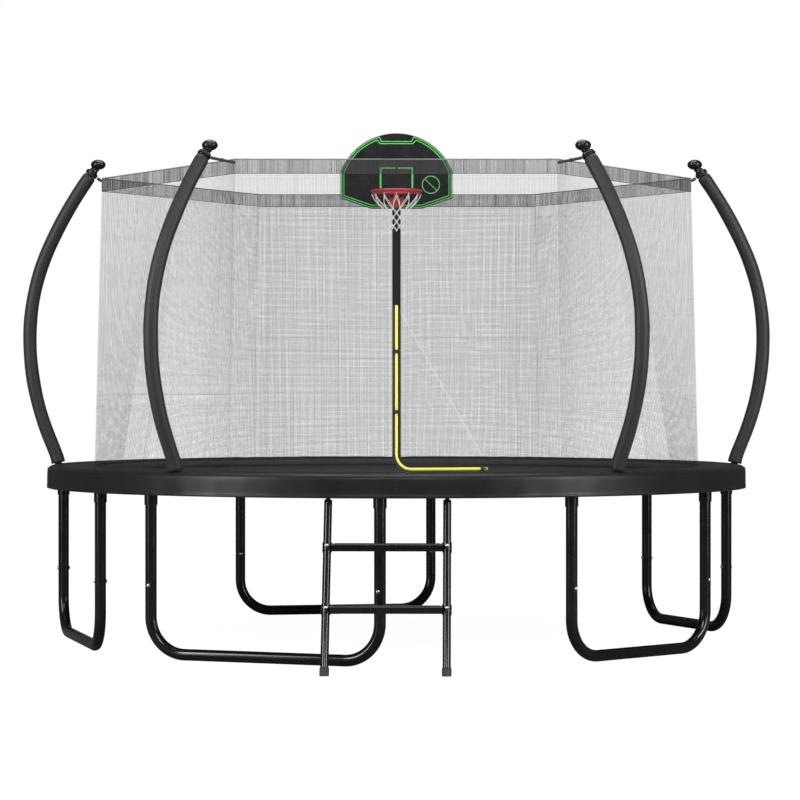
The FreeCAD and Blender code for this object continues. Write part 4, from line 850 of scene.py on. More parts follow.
class TRAMPOLINE_OT_stage(bpy.types.Operator):
    """Floor, soft lamps, world and the camera of the photograph's angle"""

    bl_idname = "trampoline.stage"
    bl_label = "Stage"

    FLOOR_REACH = 500.0
    SENSOR_WIDTH, SHIFT, CLIP_END = 36.0, (0.0044, -0.0137), 1000.0
    LAMP_AIM = Vector((0, 0, 1.2))
    # Each lamp's place, its width and height, and its share of the lamp power.
    LAMPS = {
        "lamp_left": ((-6.5, -5.0, 3.6), (1.2, 6.0), 1.05),
        "lamp_right": ((6.5, -5.0, 3.6), (1.2, 6.0), 1.05),
        "lamp_front": ((0.0, -9.0, 6.5), (5.0, 2.5), 0.9),
        "lamp_top": ((0.0, 0.5, 8.0), (6.0, 6.0), 1.0),
    }

    def execute(self, context):
        context.scene.view_settings.view_transform = "Standard"
        studio = context.scene.trampoline_studio
        self.world(context.scene, studio)
        self.floor()
        self.lamps(studio)
        self.camera(context.scene, studio)
        return {"FINISHED"}

    def world(self, scene, studio):
        """White where the camera sees it, dim in gloss and even for the rest of the light."""
        world = bpy.data.worlds.new("studio_world")
        scene.world = world
        world.use_nodes = True
        tree = world.node_tree
        tree.nodes.clear()
        rays = add(tree, "ShaderNodeLightPath").outputs
        gloss = add(tree, "ShaderNodeMapRange", {
            "To Min": studio.ambient, "To Max": studio.mirrored, "Value": rays["Is Glossy Ray"]})
        level = add(tree, "ShaderNodeMapRange", {
            "To Min": gloss.outputs["Result"], "To Max": 1.0, "Value": rays["Is Camera Ray"]})
        light = add(tree, "ShaderNodeBackground", {
            "Color": (1, 1, 1, 1), "Strength": level.outputs["Result"]})
        add(tree, "ShaderNodeOutputWorld", {"Surface": light.outputs["Background"]})

    def floor(self):
        """A floor that looks nearly as white as the world behind it, and dim in gloss."""
        far = self.FLOOR_REACH
        mesh = bpy.data.meshes.new("floor")
        mesh.from_pydata([(-far, -far, 0), (far, -far, 0), (far, far, 0), (-far, far, 0)], [],
                         [(0, 1, 2, 3)])
        material = bpy.data.materials.new("floor_white")
        material.use_nodes = True
        tree = material.node_tree
        rays = add(tree, "ShaderNodeLightPath").outputs
        pale = mixed_colour(tree, rays["Is Glossy Ray"], (0.86, 0.86, 0.86), (0.14, 0.14, 0.14))
        shader = fill(tree, tree.nodes["Principled BSDF"], {
            "Base Color": pale, "Roughness": 0.9, "Specular IOR Level": 0.1})
        plain = add(tree, "ShaderNodeEmission", {"Color": (1, 1, 1, 1), "Strength": 1.10})
        mixing = add(tree, "ShaderNodeMixShader", {
            "Fac": multiplied(tree, rays["Is Camera Ray"], 0.88), 1: shader.outputs["BSDF"],
            2: plain.outputs["Emission"]})
        fill(tree, tree.nodes["Material Output"], {"Surface": mixing.outputs["Shader"]})
        mesh.materials.append(material)
        placed("floor", mesh)

    def lamps(self, studio):
        for name, (place, (wide, high), share) in self.LAMPS.items():
            data = bpy.data.lights.new(name, "AREA")
            data.shape = "RECTANGLE"
            data.size, data.size_y = wide, high
            data.energy = studio.lamp_power * share
            lamp = placed(name, data)
            lamp.location = place
            lamp.rotation_euler = (self.LAMP_AIM - Vector(place)).to_track_quat("-Z", "Y").to_euler()

    def camera(self, scene, studio):
        data = bpy.data.cameras.new("camera")
        data.lens = studio.lens
        data.sensor_width = self.SENSOR_WIDTH
        data.shift_x, data.shift_y = self.SHIFT
        data.clip_end = self.CLIP_END
        camera = placed("camera", data)
        camera.location = (0, -studio.camera_distance, studio.camera_height)
        camera.rotation_euler = (math.pi / 2, 0, 0)
        scene.camera = camera


class TRAMPOLINE_OT_steel(bpy.types.Operator):
    """Coats of the ring, legs, pole tubes and saddles, and the domed bolts of the legs"""

    bl_idname = "trampoline.steel"
    bl_label = "Steel frame"

    def execute(self, context):
        rings = [f"ring_segment_{number}" for number in range(1, 11)]
        bases = [f"leg_base_{number}" for number in range(1, 6)]
        recoat("gloss_coat", *rings, *bases, "leg_posts")
        recoat("hoop_pole_coat", *(f"pole_{number}" for number in range(1, 5)))
        recoat("saddle_plastic", "pole_saddles")
        places = []
        for first, second in zip(LEG_AZIMUTHS[::2], LEG_AZIMUTHS[1::2]):
            outward = polar(1, (first + second) / 2)
            for azimuth in (first, second):
                centre = polar(RING_RADIUS, azimuth, LEG_BOLT_HEIGHT)
                places += [(centre + way * LEG_BOLT_SEAT, facing(way)) for way in (outward, -outward)]
        piece = copies("leg_bolt_domes", domed_nut("bolt_dome", *LEG_DOME), places, "zinc")
        put_on(piece, "frame", "bolt_silver", "leg_bolts")
        return {"FINISHED"}


class TRAMPOLINE_OT_bed(bpy.types.Operator):
    """Jumping mat with its sewn edge, the rings along it and the springs"""

    bl_idname = "trampoline.bed"
    bl_label = "Mat and springs"

    # Radius of each level of the mat and its lift; the rings near the centre keep the shading even.
    LEVELS = [(0.0001, 0), (0.004, 0), (0.05, 0), (0.4, 0), (0.8, 0), (1.2, 0), (1.46, 0), (1.497, 0),
              (1.5, 0.0009), (1.552, 0.0009), (1.5585, 0.0004), (MAT_RADIUS, -0.0006)]
    CLOTH_TOP, HEM_DEPTH, HEM_SINK, MAT_SIDES = MAT_TOP - 0.0011, 0.0008, 0.3, 180
    STITCH_RADII, STITCH_PITCH, STITCH_SIZE = (1.506, 1.530, 1.546), 0.014, (0.009, 0.0016, 0.0009)
    # Outline of a V-ring, as outward and sideways from the middle of its base.
    VRING_OUTLINE = [(0, -0.0125), (0, 0.0125), (0.004, 0.0158), (0.0245, 0.0032), (0.0272, 0),
                    (0.0245, -0.0032), (0.004, -0.0158)]
    VRING_GAP, VRING_WIRE, VRING_HEIGHT = 0.0026, 0.0019, MAT_TOP - 0.001
    COIL_RADIUS, COIL_SHARE, HOOK_SHARE, COIL_START = 0.012, 0.8, 0.1, 0.0306

    def execute(self, context):
        mat = self.mat()
        self.rings()
        self.stitches()
        self.springs(context.scene.trampoline_sizes)
        return {"FINISHED"}

    def mat(self):
        """One cloth with a doubled hem; its edge stands a little higher."""
        outline = [(radius, self.CLOTH_TOP + lift) for radius, lift in self.LEVELS]
        outline += [(radius, self.CLOTH_TOP - self.HEM_DEPTH - lift * self.HEM_SINK)
                    for radius, lift in reversed(self.LEVELS)]
        mat = ring_piece("jumping_mat", outline, self.MAT_SIDES, "mat_weave")
        return put_on(mat, "bed", "mat_cloth", "mat")

    def stitches(self):
        """Three rows of stitches along the hem."""
        places = []
        for radius in self.STITCH_RADII:
            count = int(2 * math.pi * radius / self.STITCH_PITCH)
            for index in range(count):
                azimuth = 360 * index / count
                turn = axes_matrix(polar(1, azimuth + 90), -polar(1, azimuth), UP)
                places.append((polar(radius, azimuth, MAT_TOP - 0.0001), turn))
        stitch = block("stitch", (0, 0, 0), AXES, self.STITCH_SIZE, "webbing")
        return put_on(copies("mat_stitches", stitch, places, "webbing"), "bed", "mat_cloth")

    def rings(self):
        """Wire triangles along the mat's edge."""
        lines = []
        for index in range(SPRING_COUNT):
            azimuth = SPRING_OFFSET + 360 * index / SPRING_COUNT
            out, across = polar(1, azimuth), polar(1, azimuth + 90)
            base = out * (MAT_RADIUS + self.VRING_GAP) + Vector((0, 0, self.VRING_HEIGHT))
            spots = [base + out * along + across * aside for along, aside in self.VRING_OUTLINE]
            lines.append((spots, self.VRING_WIRE, True))
        put_on(strands("mat_vrings", lines, "spring_zinc", 8), "bed", "spring_steel", "mat_rings")

    def springs(self, sizes):
        """The coils, in sectors of three, each turned along its own radius."""
        inner = Vector((MAT_RADIUS + self.COIL_START, 0, self.VRING_HEIGHT))
        run = Vector((SPRING_HOLE[0], 0, SPRING_HOLE[1])) - inner
        tree = tree_named("Springs round the ring", [
            ("Turns", "Float"), ("Coil Radius", "Float"), ("Wire Radius", "Float"), ("Coil Length", "Float"),
            ("Hook Length", "Float"), ("Start", "Vector"), ("Tilt", "Vector")], spring_nodes)
        wire = sizes.spring_wire / 2
        for sector in range(SPRING_COUNT // 3):
            azimuths = [SPRING_OFFSET + 360 * (3 * sector + step) / SPRING_COUNT for step in range(3)]
            places = [(Vector((0, 0, 0)), level_turn(math.radians(azimuth))) for azimuth in azimuths]
            piece = grown(f"springs_{sector + 1}", points_mesh(places), tree, "spring_zinc",
                          Turns=float(sizes.spring_turns), Coil_Radius=self.COIL_RADIUS - wire,
                          Wire_Radius=wire, Coil_Length=run.length * self.COIL_SHARE,
                          Hook_Length=run.length * self.HOOK_SHARE, Start=tuple(inner),
                          Tilt=(0, math.atan2(run.x, run.z), 0))
            polar(1.755, azimuths[1], 0.85)
            polar(1.600, azimuths[1], 0.868)
            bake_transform(piece)
            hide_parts("springs")


class TRAMPOLINE_OT_pad(bpy.types.Operator):
    """Padded ring over the springs, sewn in sections, with its skirt and piping"""

    bl_idname = "trampoline.pad"
    bl_label = "Padded ring"

    # The cover's outline as radius, height, share of the crown and share of the skirt's ripples:
    # the inner edge, the top between TOP_START and TOP_END, and from there the skirt and underside.
    INNER_EDGE = [(1.5440, 0.8722, 0, 0), (1.5335, 0.8720, 0, 0), (1.5290, 0.8760, 0, 0),
                  (PAD_INNER, 0.888, 0, 0), (1.5290, 0.899, 0.1, 0), (1.5335, 0.9035, 0.3, 0)]
    TOP_START, TOP_END, TOP_HEIGHT, TOP_RISE, TOP_STEPS = 1.5335, 1.797, 0.9035, 0.0065, 14
    SKIRT = [(1.797, 0.9105, 0.25, 0), (1.808, 0.9080, 0.1, 0), (1.8170, 0.9030, 0.05, 0),
             (1.8230, 0.8965, 0, 0), (1.8262, 0.8895, 0, 0.1), (1.8272, 0.880, 0, 0.3),
             (1.8274, 0.866, 0, 0.6), (1.8274, 0.850, 0, 0.8), (1.8274, 0.834, 0, 1), (1.8274, 0.818, 0, 1),
             (1.8276, 0.808, 0, 1), (1.8284, 0.8065, 0, 1), (1.8286, 0.7965, 0, 1),
             (1.8276, SKIRT_BOTTOM, 0, 1), (1.8250, SKIRT_BOTTOM, 0, 1), (1.8236, 0.800, 0, 1),
             (1.8236, 0.840, 0, 1), (1.8236, 0.872, 0, 0.3), (1.8200, PAD_BOTTOM, 0, 0),
             (1.760, PAD_BOTTOM, 0, 0), (1.650, PAD_BOTTOM, 0, 0), (1.562, PAD_BOTTOM, 0, 0)]
    # The binding strip round the pad's inner lip as radius and height: a webbing trim, whose light colour is
    # painted light on a lip that lies in shade.
    BINDING = [(1.5312, MAT_TOP + 0.0010), (1.5276, MAT_TOP + 0.0010), (1.5262, 0.880), (1.5262, 0.896),
               (1.5276, 0.9015), (1.5306, 0.9040), (1.5324, 0.9018), (1.5300, 0.896), (1.5300, 0.880)]
    PAD_SIDES, TRIM_SIDES = 720, 360
    SEAM_WIDTH, SEAM_DEPTH, SEAM_PINCH, WRINKLE, RIPPLE = 1.6, 0.0035, 0.0012, 0.0010, 0.0010
    # The seams' two threads, by their shift in degrees, and the part of the outline that they run over.
    THREADS, THREAD_RADIUS, THREAD_SPAN = (-0.16, 0.16), 0.0008, slice(3, 34)
    # Piping cords as radius, height and thickness; they are real cords, and their lighter colour is a painted
    # highlight along the edges they follow.
    PIPING = [(1.8252, 0.8955, 0.0021), (1.8284, 0.8075, 0.0009)]

    def execute(self, context):
        sizes = context.scene.trampoline_sizes
        pad = self.ring(sizes)
        piping = strands("pad_piping", [(circle(radius, height, self.TRIM_SIDES), thick, True)
                                        for radius, height, thick in self.PIPING], "pad_piping", 8)
        seams = self.seams(sizes)
        binding = ring_piece("pad_binding", self.BINDING, self.TRIM_SIDES, "pad_binding")
        for trim in (piping, seams, binding):
            put_on(trim, "frame", "pad_cover")
        put_on(pad, "frame", "pad_cover", "safety_pad")
        return {"FINISHED"}

    def outline(self):
        spots = list(self.INNER_EDGE)
        for index in range(1, self.TOP_STEPS):
            share = index / self.TOP_STEPS
            radius = self.TOP_START + (self.TOP_END - self.TOP_START) * share
            height = self.TOP_HEIGHT + self.TOP_RISE * math.sin(math.pi / 2 * min(1.0, share * 1.5))
            spots.append((radius, height, math.sin(math.pi * share) ** 0.7, 0))
        return spots + self.SKIRT

    def ring(self, sizes):
        """The cover: crowned between its seams, drawn in at them, with wrinkles and a rippled skirt."""
        outline, sides, sections = self.outline(), self.PAD_SIDES, sizes.pad_sections
        random.seed(4)
        phases = [random.uniform(0, 2 * math.pi) for _ in range(6)]
        points = []
        for radius, height, crown, skirt in outline:
            for index in range(sides):
                azimuth = 360 * index / sides
                turn = math.radians(azimuth)
                seam = abs(((azimuth / 360 * sections + 0.5) % 1) - 0.5) * 2
                bulge = 1 - bell(seam * 360 / sections / 2, self.SEAM_WIDTH)
                wrinkle = (math.sin(17 * turn + phases[0]) + math.sin(41 * turn + phases[1])
                           + math.sin(73 * turn + phases[2]) * math.cos(radius * 40 + phases[3])) / 3
                rise = crown * (sizes.pad_puff * bulge - self.SEAM_DEPTH * (1 - bulge)
                                + self.WRINKLE * wrinkle)
                waves = math.sin(29 * turn + phases[4]) + 0.6 * math.sin(67 * turn + phases[5])
                wide = (radius + self.RIPPLE * skirt * waves
                        - self.SEAM_PINCH * (1 - bulge) * (crown + skirt))
                points.append(polar(wide, azimuth, height + rise))
        return piece_from("padded_ring", points, grid_faces(len(outline), sides, True, True), "pad_cover")

    def seams(self, sizes):
        """Radial seams between the sections, over the top and down the skirt."""
        lines = []
        for section in range(sizes.pad_sections):
            azimuth = 360 * section / sizes.pad_sections
            for shift in self.THREADS:
                spots = [polar(radius - 0.0004 - 0.0012 * skirt, azimuth + shift,
                               height - 0.0024 * crown + 0.0004)
                         for radius, height, crown, skirt in self.outline()[self.THREAD_SPAN]]
                lines.append((spots, self.THREAD_RADIUS, False))
        return strands("pad_seams", lines, "webbing", 5)


class TRAMPOLINE_OT_poles(bpy.types.Operator):
    """Foam sleeves, caps with their knobs, and the straps that hold up the net"""

    bl_idname = "trampoline.poles"
    bl_label = "Net poles"

    # Height along a cap's axis and radius: the collar with its rib, the waist and its ring, the neck.
    NECK = [(0.0, 0.0202), (-0.0114, 0.0202), (-0.0117, 0.0310), (-0.0106, 0.0325), (-0.0058, 0.0328),
            (-0.0052, 0.0312), (-0.0030, 0.0312), (-0.0024, 0.0330), (0.0080, 0.0330), (0.0105, 0.0322),
            (0.0117, 0.0290), (0.0125, 0.0262), (0.0160, 0.0240), (0.0230, 0.0205), (0.0270, 0.0192),
            (0.0290, 0.0192), (0.0298, 0.0226), (0.0335, 0.0232), (0.0345, 0.0205), (0.0420, 0.0200),
            (0.0500, 0.0180)]
    KNOB_RISE, KNOB_REACH, KNOB_PLACE, CAP_SIDES = 0.027, 0.039, 0.059, 48
    FOAM_RADIUS, FOAM_BORE, FOAM_LENGTH, FOAM_SIDES = 0.0352, 0.0195, 1.6, 40
    # Depth and width of the pinch at the sleeve's top, the spread at its foot and the top's puckers.
    PINCH, SPREAD, PUCKERS, DENT = (0.0075, 0.008), (0.0010, 0.03), (0.0009, 0.03), 0.0005
    LOOP_RADIUS, LOOP_WIRE, STRAP_START, STRAP_DROP = 0.0334, 0.0022, 0.0385, 0.0020
    STRAP_STEPS, STRAP_RADIUS, STRAP_TAPER, STRAP_END = 12, 0.0078, 0.0012, 0.004
    # Where a strap meets its corner of the net: inwards from it and below the net's top.
    CORNER_INWARD, CORNER_DROP = 0.002, 0.022
    SLIDER_PLACE, SLIDER_SIZE = 0.45, (0.012, 0.0130, 0.0160)

    def execute(self, context):
        path, foam_path = pole_path(), pole_path(FOAM_END_TURN)
        for number in range(4):
            self.sleeve(number, foam_path)
            self.cap(number, path)
        self.straps(path)
        return {"FINISHED"}

    def sleeve(self, number, path):
        """A foam tube in a closed cover: soft dents, a drawn-in top and a foot that spreads on the pad."""
        centre = pole_points(number, [spot for spot in path if spot[1] > PAD_TOP - 0.002])
        random.seed(10 + number)
        shifts = [random.uniform(0, 2 * math.pi) for _ in range(6)]
        count, sides = len(centre), self.FOAM_SIDES
        deep, wide = self.PUCKERS
        outer = []
        for index in range(count):
            share = index / (count - 1)
            run = share * self.FOAM_LENGTH
            radius = (self.FOAM_RADIUS + 0.0005 * math.sin(run * 9 + shifts[0])
                      + 0.0003 * math.sin(run * 23 + shifts[1]))
            radius -= self.PINCH[0] * bell((1 - share) * self.FOAM_LENGTH, self.PINCH[1])
            outer.append(radius + self.SPREAD[0] * bell(run, self.SPREAD[1]))
        shell = tube_points(centre, outer, sides)
        for index, point in enumerate(shell):
            ring, side = divmod(index, sides)
            run, turn = ring / count * self.FOAM_LENGTH, 2 * math.pi * side / sides
            pucker = deep * bell((count - 1 - ring) * 0.014, wide) * math.sin(turn * 10)
            wave = math.sin(turn * 2 + run * 5 + shifts[2])
            dent = self.DENT * wave * math.sin(run * 14 + shifts[3]) + pucker
            shell[index] = point + (point - centre[ring]).normalized() * dent
        inside = len(shell)
        faces = grid_faces(count, sides, wrap_columns=True)
        faces += [tuple(corner + inside for corner in reversed(face)) for face in faces]
        for ring in (0, count - 1):
            for side in range(sides):
                a, b = ring * sides + side, ring * sides + (side + 1) % sides
                faces.append((a, b, b + inside, a + inside))
        points = shell + tube_points(centre, [self.FOAM_BORE] * count, sides)
        sleeve = piece_from(f"foam_cover_{number + 1}", points, faces, "foam_cover")
        put_on(sleeve, "frame", "foam_cover", f"foam_sleeve_{number + 1}")

    def cap(self, number, path):
        """A collar with a rib, a waist with a ring on it and a knob wider than it is high."""
        seat, axis = cap_seat(number, path)
        neck = turned(f"cap_neck_{number + 1}", self.NECK, seat, axis, "cap_plastic", self.CAP_SIDES)
        angles = [math.pi * (step / 24 - 0.5) for step in range(25)]
        round_knob = [(self.KNOB_RISE * math.sin(angle), max(0.0006, self.KNOB_REACH * math.cos(angle)))
                      for angle in angles]
        knob = turned(f"cap_ball_{number + 1}", round_knob, seat + axis * self.KNOB_PLACE, UP,
                      "cap_plastic", self.CAP_SIDES)
        piece = joined(f"cap_knob_{number + 1}", [neck, knob])
        put_on(piece, "frame", "cap_black", f"pole_cap_{number + 1}")

    def straps(self, path):
        """Webbing from each collar to its corner of the net, with a slider, and a loop round the collar."""
        lines, bands = [], []
        for number, azimuth in enumerate(STRAP_CORNERS):
            seat, axis = cap_seat(number, path)
            corner = polar(NET_TOP_RADIUS - self.CORNER_INWARD, azimuth, NET_TOP - self.CORNER_DROP)
            toward = corner - seat
            inward = (toward - axis * toward.dot(axis)).normalized()
            low = seat - axis * self.STRAP_DROP
            start = low + inward * self.STRAP_START
            ahead = (corner - start).normalized()
            end = corner - ahead * self.STRAP_END
            upright = (axis - ahead * axis.dot(ahead)).normalized()
            steps = range(self.STRAP_STEPS + 1)
            spots = [start.lerp(end, step / self.STRAP_STEPS) for step in steps]
            radii = [self.STRAP_RADIUS - self.STRAP_TAPER * step / self.STRAP_STEPS for step in steps]
            bands.append(tube(f"strap_band_{number}", spots, radii, "webbing", 10))
            loop = round_points(low, inward, axis.cross(inward), self.LOOP_RADIUS, 48)
            lines.append((loop, self.LOOP_WIRE, True))
            axes = [ahead, ahead.cross(upright), upright]
            bands.append(block(f"strap_slider_{number}", start.lerp(end, self.SLIDER_PLACE), axes,
                               self.SLIDER_SIZE, "webbing", 0.0020))
        piece = joined("net_strap_bands", bands + [strands("strap_loops", lines, "webbing", 8)])
        put_on(piece, "frame", "strap_black", "net_straps")


class TRAMPOLINE_OT_net(bpy.types.Operator):
    """Fine net round the bed, its hems, the dense band round its top and the rods in the band"""

    bl_idname = "trampoline.net"
    bl_label = "Safety net"

    EDGE = 0.9985
    JITTER = 0.09
    ASLANT_GAP, ASLANT_WIDTH, ASLANT_BAND_GAP = 1.65, 0.85, 1.9
    ROW_DENSITY = 1.2
    DOUBLED_ODDS, DOUBLED, PLAIN = 0.04, (1.3, 1.5), (0.88, 1.12)
    FOOT_HEM, CORNER_HEM = 0.0028, 0.0006
    # The band's strands: odds and strength of a new streak, jitter and unevenness both ways.
    STREAK_ODDS, STREAK, UPRIGHT_JITTER, UPRIGHT = 0.15, (0.82, 1.22), 0.2, (0.8, 1.2)
    LEVEL_JITTER, LEVEL, BAND_CORD = 0.15, (0.5, 0.7), 0.0012
    DOOR_STEPS, KEPT_STEP, TAPE_HALF, FOLD_GAP, DOOR_MARGIN = 260, 12, 0.0086, 0.0015, -0.06
    FLAP_TAPE, FLAP_TAPE_THICK = (0.0092, 0.0215), 0.0016
    ROD_RADIUS, ELBOW_RADIUS, ROD_STEPS, ROD_GAP, ROD_DROP = 0.0026, 0.0034, 40, 0.006, 0.005
    ELBOW_REACH, ELBOW_BEND, ELBOW_INWARD = 0.060, 0.014, 0.003

    def execute(self, context):
        sizes = context.scene.trampoline_sizes
        for panel in range(6):
            if panel != DOOR_PANEL:
                self.plain_panel(sizes, panel)
        self.door_panel(sizes)
        self.hems()
        self.band(sizes)
        self.rods()
        return {"FINISHED"}

    def panel_lines(self, sizes, panel):
        """Each strand as its two ends (across, up) and its radius: the uprights, then the level ones."""
        random.seed(100 + panel)
        foot, top = net_corners(panel)
        gap, width = sizes.net_gap, sizes.net_strand
        columns = int((top[2] - top[0]).length / gap / (self.ASLANT_GAP if seen_aslant(panel) else 1.0))
        rows = int((top[1] - foot[1]).length / gap * self.ROW_DENSITY)
        if seen_aslant(panel):
            width *= self.ASLANT_WIDTH
        lines = []
        for column in range(1, columns):
            share = (column + random.uniform(-self.JITTER, self.JITTER)) / columns
            across = -1 + 2 * spread(panel, share)
            lines.append(((across, 0), (across, 1), self.uneven(width)))
        for row in range(1, rows):
            up = (row + random.uniform(-self.JITTER, self.JITTER)) / rows
            lines.append(((-1, up), (1, up), self.uneven(width / self.ROW_DENSITY)))
        return lines

    def uneven(self, width):
        """Half of a strand's width, with the odd doubled strand of a knitted net."""
        doubled = random.random() < self.DOUBLED_ODDS
        return width / 2 * random.uniform(*(self.DOUBLED if doubled else self.PLAIN))

    def plain_panel(self, sizes, panel):
        lines = []
        for *ends, radius in self.panel_lines(sizes, panel):
            spots = [net_point(panel, across * self.EDGE, up) for across, up in ends]
            if ends[0][0] != ends[1][0]:
                spots.insert(1, net_point(panel, 0, ends[0][1]))
            lines.append((spots, radius, False))
        piece = strands(f"net_side_{panel + 1}", lines, "net_strand")
        put_on(piece, "frame", "net_cord", f"net_panel_{panel + 1}")

    def door_panel(self, sizes):
        """The front panel's strands, parted into the fixed net and the door's flap."""
        parts = {"fixed": [], "flap": [], "tape": []}
        for (first, low), (last, high), radius in self.panel_lines(sizes, DOOR_PANEL):
            run, side = [], None
            for step in range(self.DOOR_STEPS + 1):
                share = step / self.DOOR_STEPS
                across = first if first == last else 2 * share - 1
                point = net_point(DOOR_PANEL, across * self.EDGE, low if low == high else share)
                now = self.side_of(point)
                if now != side and run:
                    self.close_run(run, radius, parts[side])
                    run = []
                side = now
                run.append(point)
            self.close_run(run, radius, parts[side])
        piece = strands("net_side_5", parts["fixed"], "net_strand")
        put_on(piece, "frame", "net_cord", "net_panel_5")
        flap = strands("door_flap_net", parts["flap"], "net_strand")
        door = joined("door_flap_net", [flap, self.flap_tape()])
        start = DOOR.peak.lerp(DOOR.reach, 0.5) + DOOR.into * 0.004
        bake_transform(door)
        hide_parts("door_flap")

    def side_of(self, point):
        """fixed, flap, or tape where the zip covers the net."""
        along, rise = DOOR.flat(point)
        if DOOR.depth(point) < self.FOLD_GAP or along < self.DOOR_MARGIN or rise < self.DOOR_MARGIN:
            return "fixed"
        off = zip_offset(along, rise)
        if off > self.TAPE_HALF:
            return "flap"
        return "tape" if off > -self.TAPE_HALF else "fixed"

    def close_run(self, run, radius, lines):
        if len(run) > 1:
            kept = [run[0]] + run[self.KEPT_STEP:-6:self.KEPT_STEP] + [run[-1]]
            lines.append((kept, radius, False))

    def flap_tape(self):
        """The hem of the flap beside the zip, a flat band on the net that narrows to its ends."""
        line = zip_line(0.012)
        inner, outer = self.FLAP_TAPE
        shares = [min(1.0, index / 3, (len(line) - 1 - index) / 3) for index in range(len(line))]
        highs = [inner + (outer - inner) * max(0.12, share) for share in shares]
        return zip_band("flap_tape", line, inner, highs, self.FLAP_TAPE_THICK, "net_strand")

    def hems(self):
        """Bound edges: along the foot and up each corner of the hexagon."""
        foot = [net_point(panel, -1 + step / 12, 0.0012) for panel in range(6) for step in range(24)]
        sides = [[net_point(panel, -0.999, index / 8) for index in range(9)] for panel in range(6)]
        lines = [(foot, self.FOOT_HEM, True)] + [(side, self.CORNER_HEM, False) for side in sides]
        put_on(strands("net_hems", lines, "webbing", 6), "frame", "net_cord")

    def band(self, sizes):
        """Dense upright strands, level ones across them and a cord along the lower edge."""
        random.seed(77)
        low, high = NET_TOP - BAND_HEIGHT, NET_TOP - 0.0020
        lines = []
        for side in range(6):
            left, right = net_corner(side, 0), net_corner(side + 1, 0)
            apart = self.ASLANT_BAND_GAP if seen_aslant(side) else 1.0
            count = int((right - left).length / sizes.band_gap / apart)
            streak = 1.0
            for index in range(count):
                if random.random() < self.STREAK_ODDS:
                    streak = random.uniform(*self.STREAK)
                jitter = random.uniform(-self.UPRIGHT_JITTER, self.UPRIGHT_JITTER)
                spot = left.lerp(right, (index + jitter) / count)
                radius = sizes.band_strand / 2 * streak * random.uniform(*self.UPRIGHT)
                lines.append(([spot + UP * low, spot + UP * high], radius, False))
            rows = int((high - low) / sizes.band_gap)
            for row in range(1, rows):
                jitter = random.uniform(-self.LEVEL_JITTER, self.LEVEL_JITTER)
                height = low + (high - low) * (row + jitter) / rows
                radius = sizes.band_strand / 2 * random.uniform(*self.LEVEL)
                lines.append(([spot + UP * height for spot in (left, right)], radius, False))
        cord = [net_corner(side, low + self.BAND_CORD) for side in range(6)]
        lines.append((cord, self.BAND_CORD, True))
        put_on(strands("net_band_strands", lines, "band_strand", 4), "frame", "band_grey", "net_band")

    def rods(self):
        """Rods along the hexagon's top in their sleeve, with an elbow at each corner."""
        pieces, height = [], NET_TOP - self.ROD_DROP
        for side in range(6):
            left, right = net_corner(side, height), net_corner(side + 1, height)
            ahead = (right - left).normalized()
            start, end = left + ahead * self.ROD_GAP, right - ahead * self.ROD_GAP
            spots = [start.lerp(end, index / self.ROD_STEPS) for index in range(self.ROD_STEPS + 1)]
            pieces.append(tube(f"rod_{side}", spots, self.ROD_RADIUS, "rod_sleeve", 12))
            before = (net_corner(side - 1, height) - left).normalized()
            elbow = [left + before * self.ELBOW_REACH, left + before * self.ELBOW_BEND,
                     left + (before + ahead) * self.ELBOW_INWARD,
                     left + ahead * self.ELBOW_BEND, left + ahead * self.ELBOW_REACH]
            pieces.append(tube(f"elbow_{side}", elbow, self.ELBOW_RADIUS, "rod_sleeve", 12))
        put_on(joined("net_band_rods", pieces), "frame", "net_rod", "net_rods")


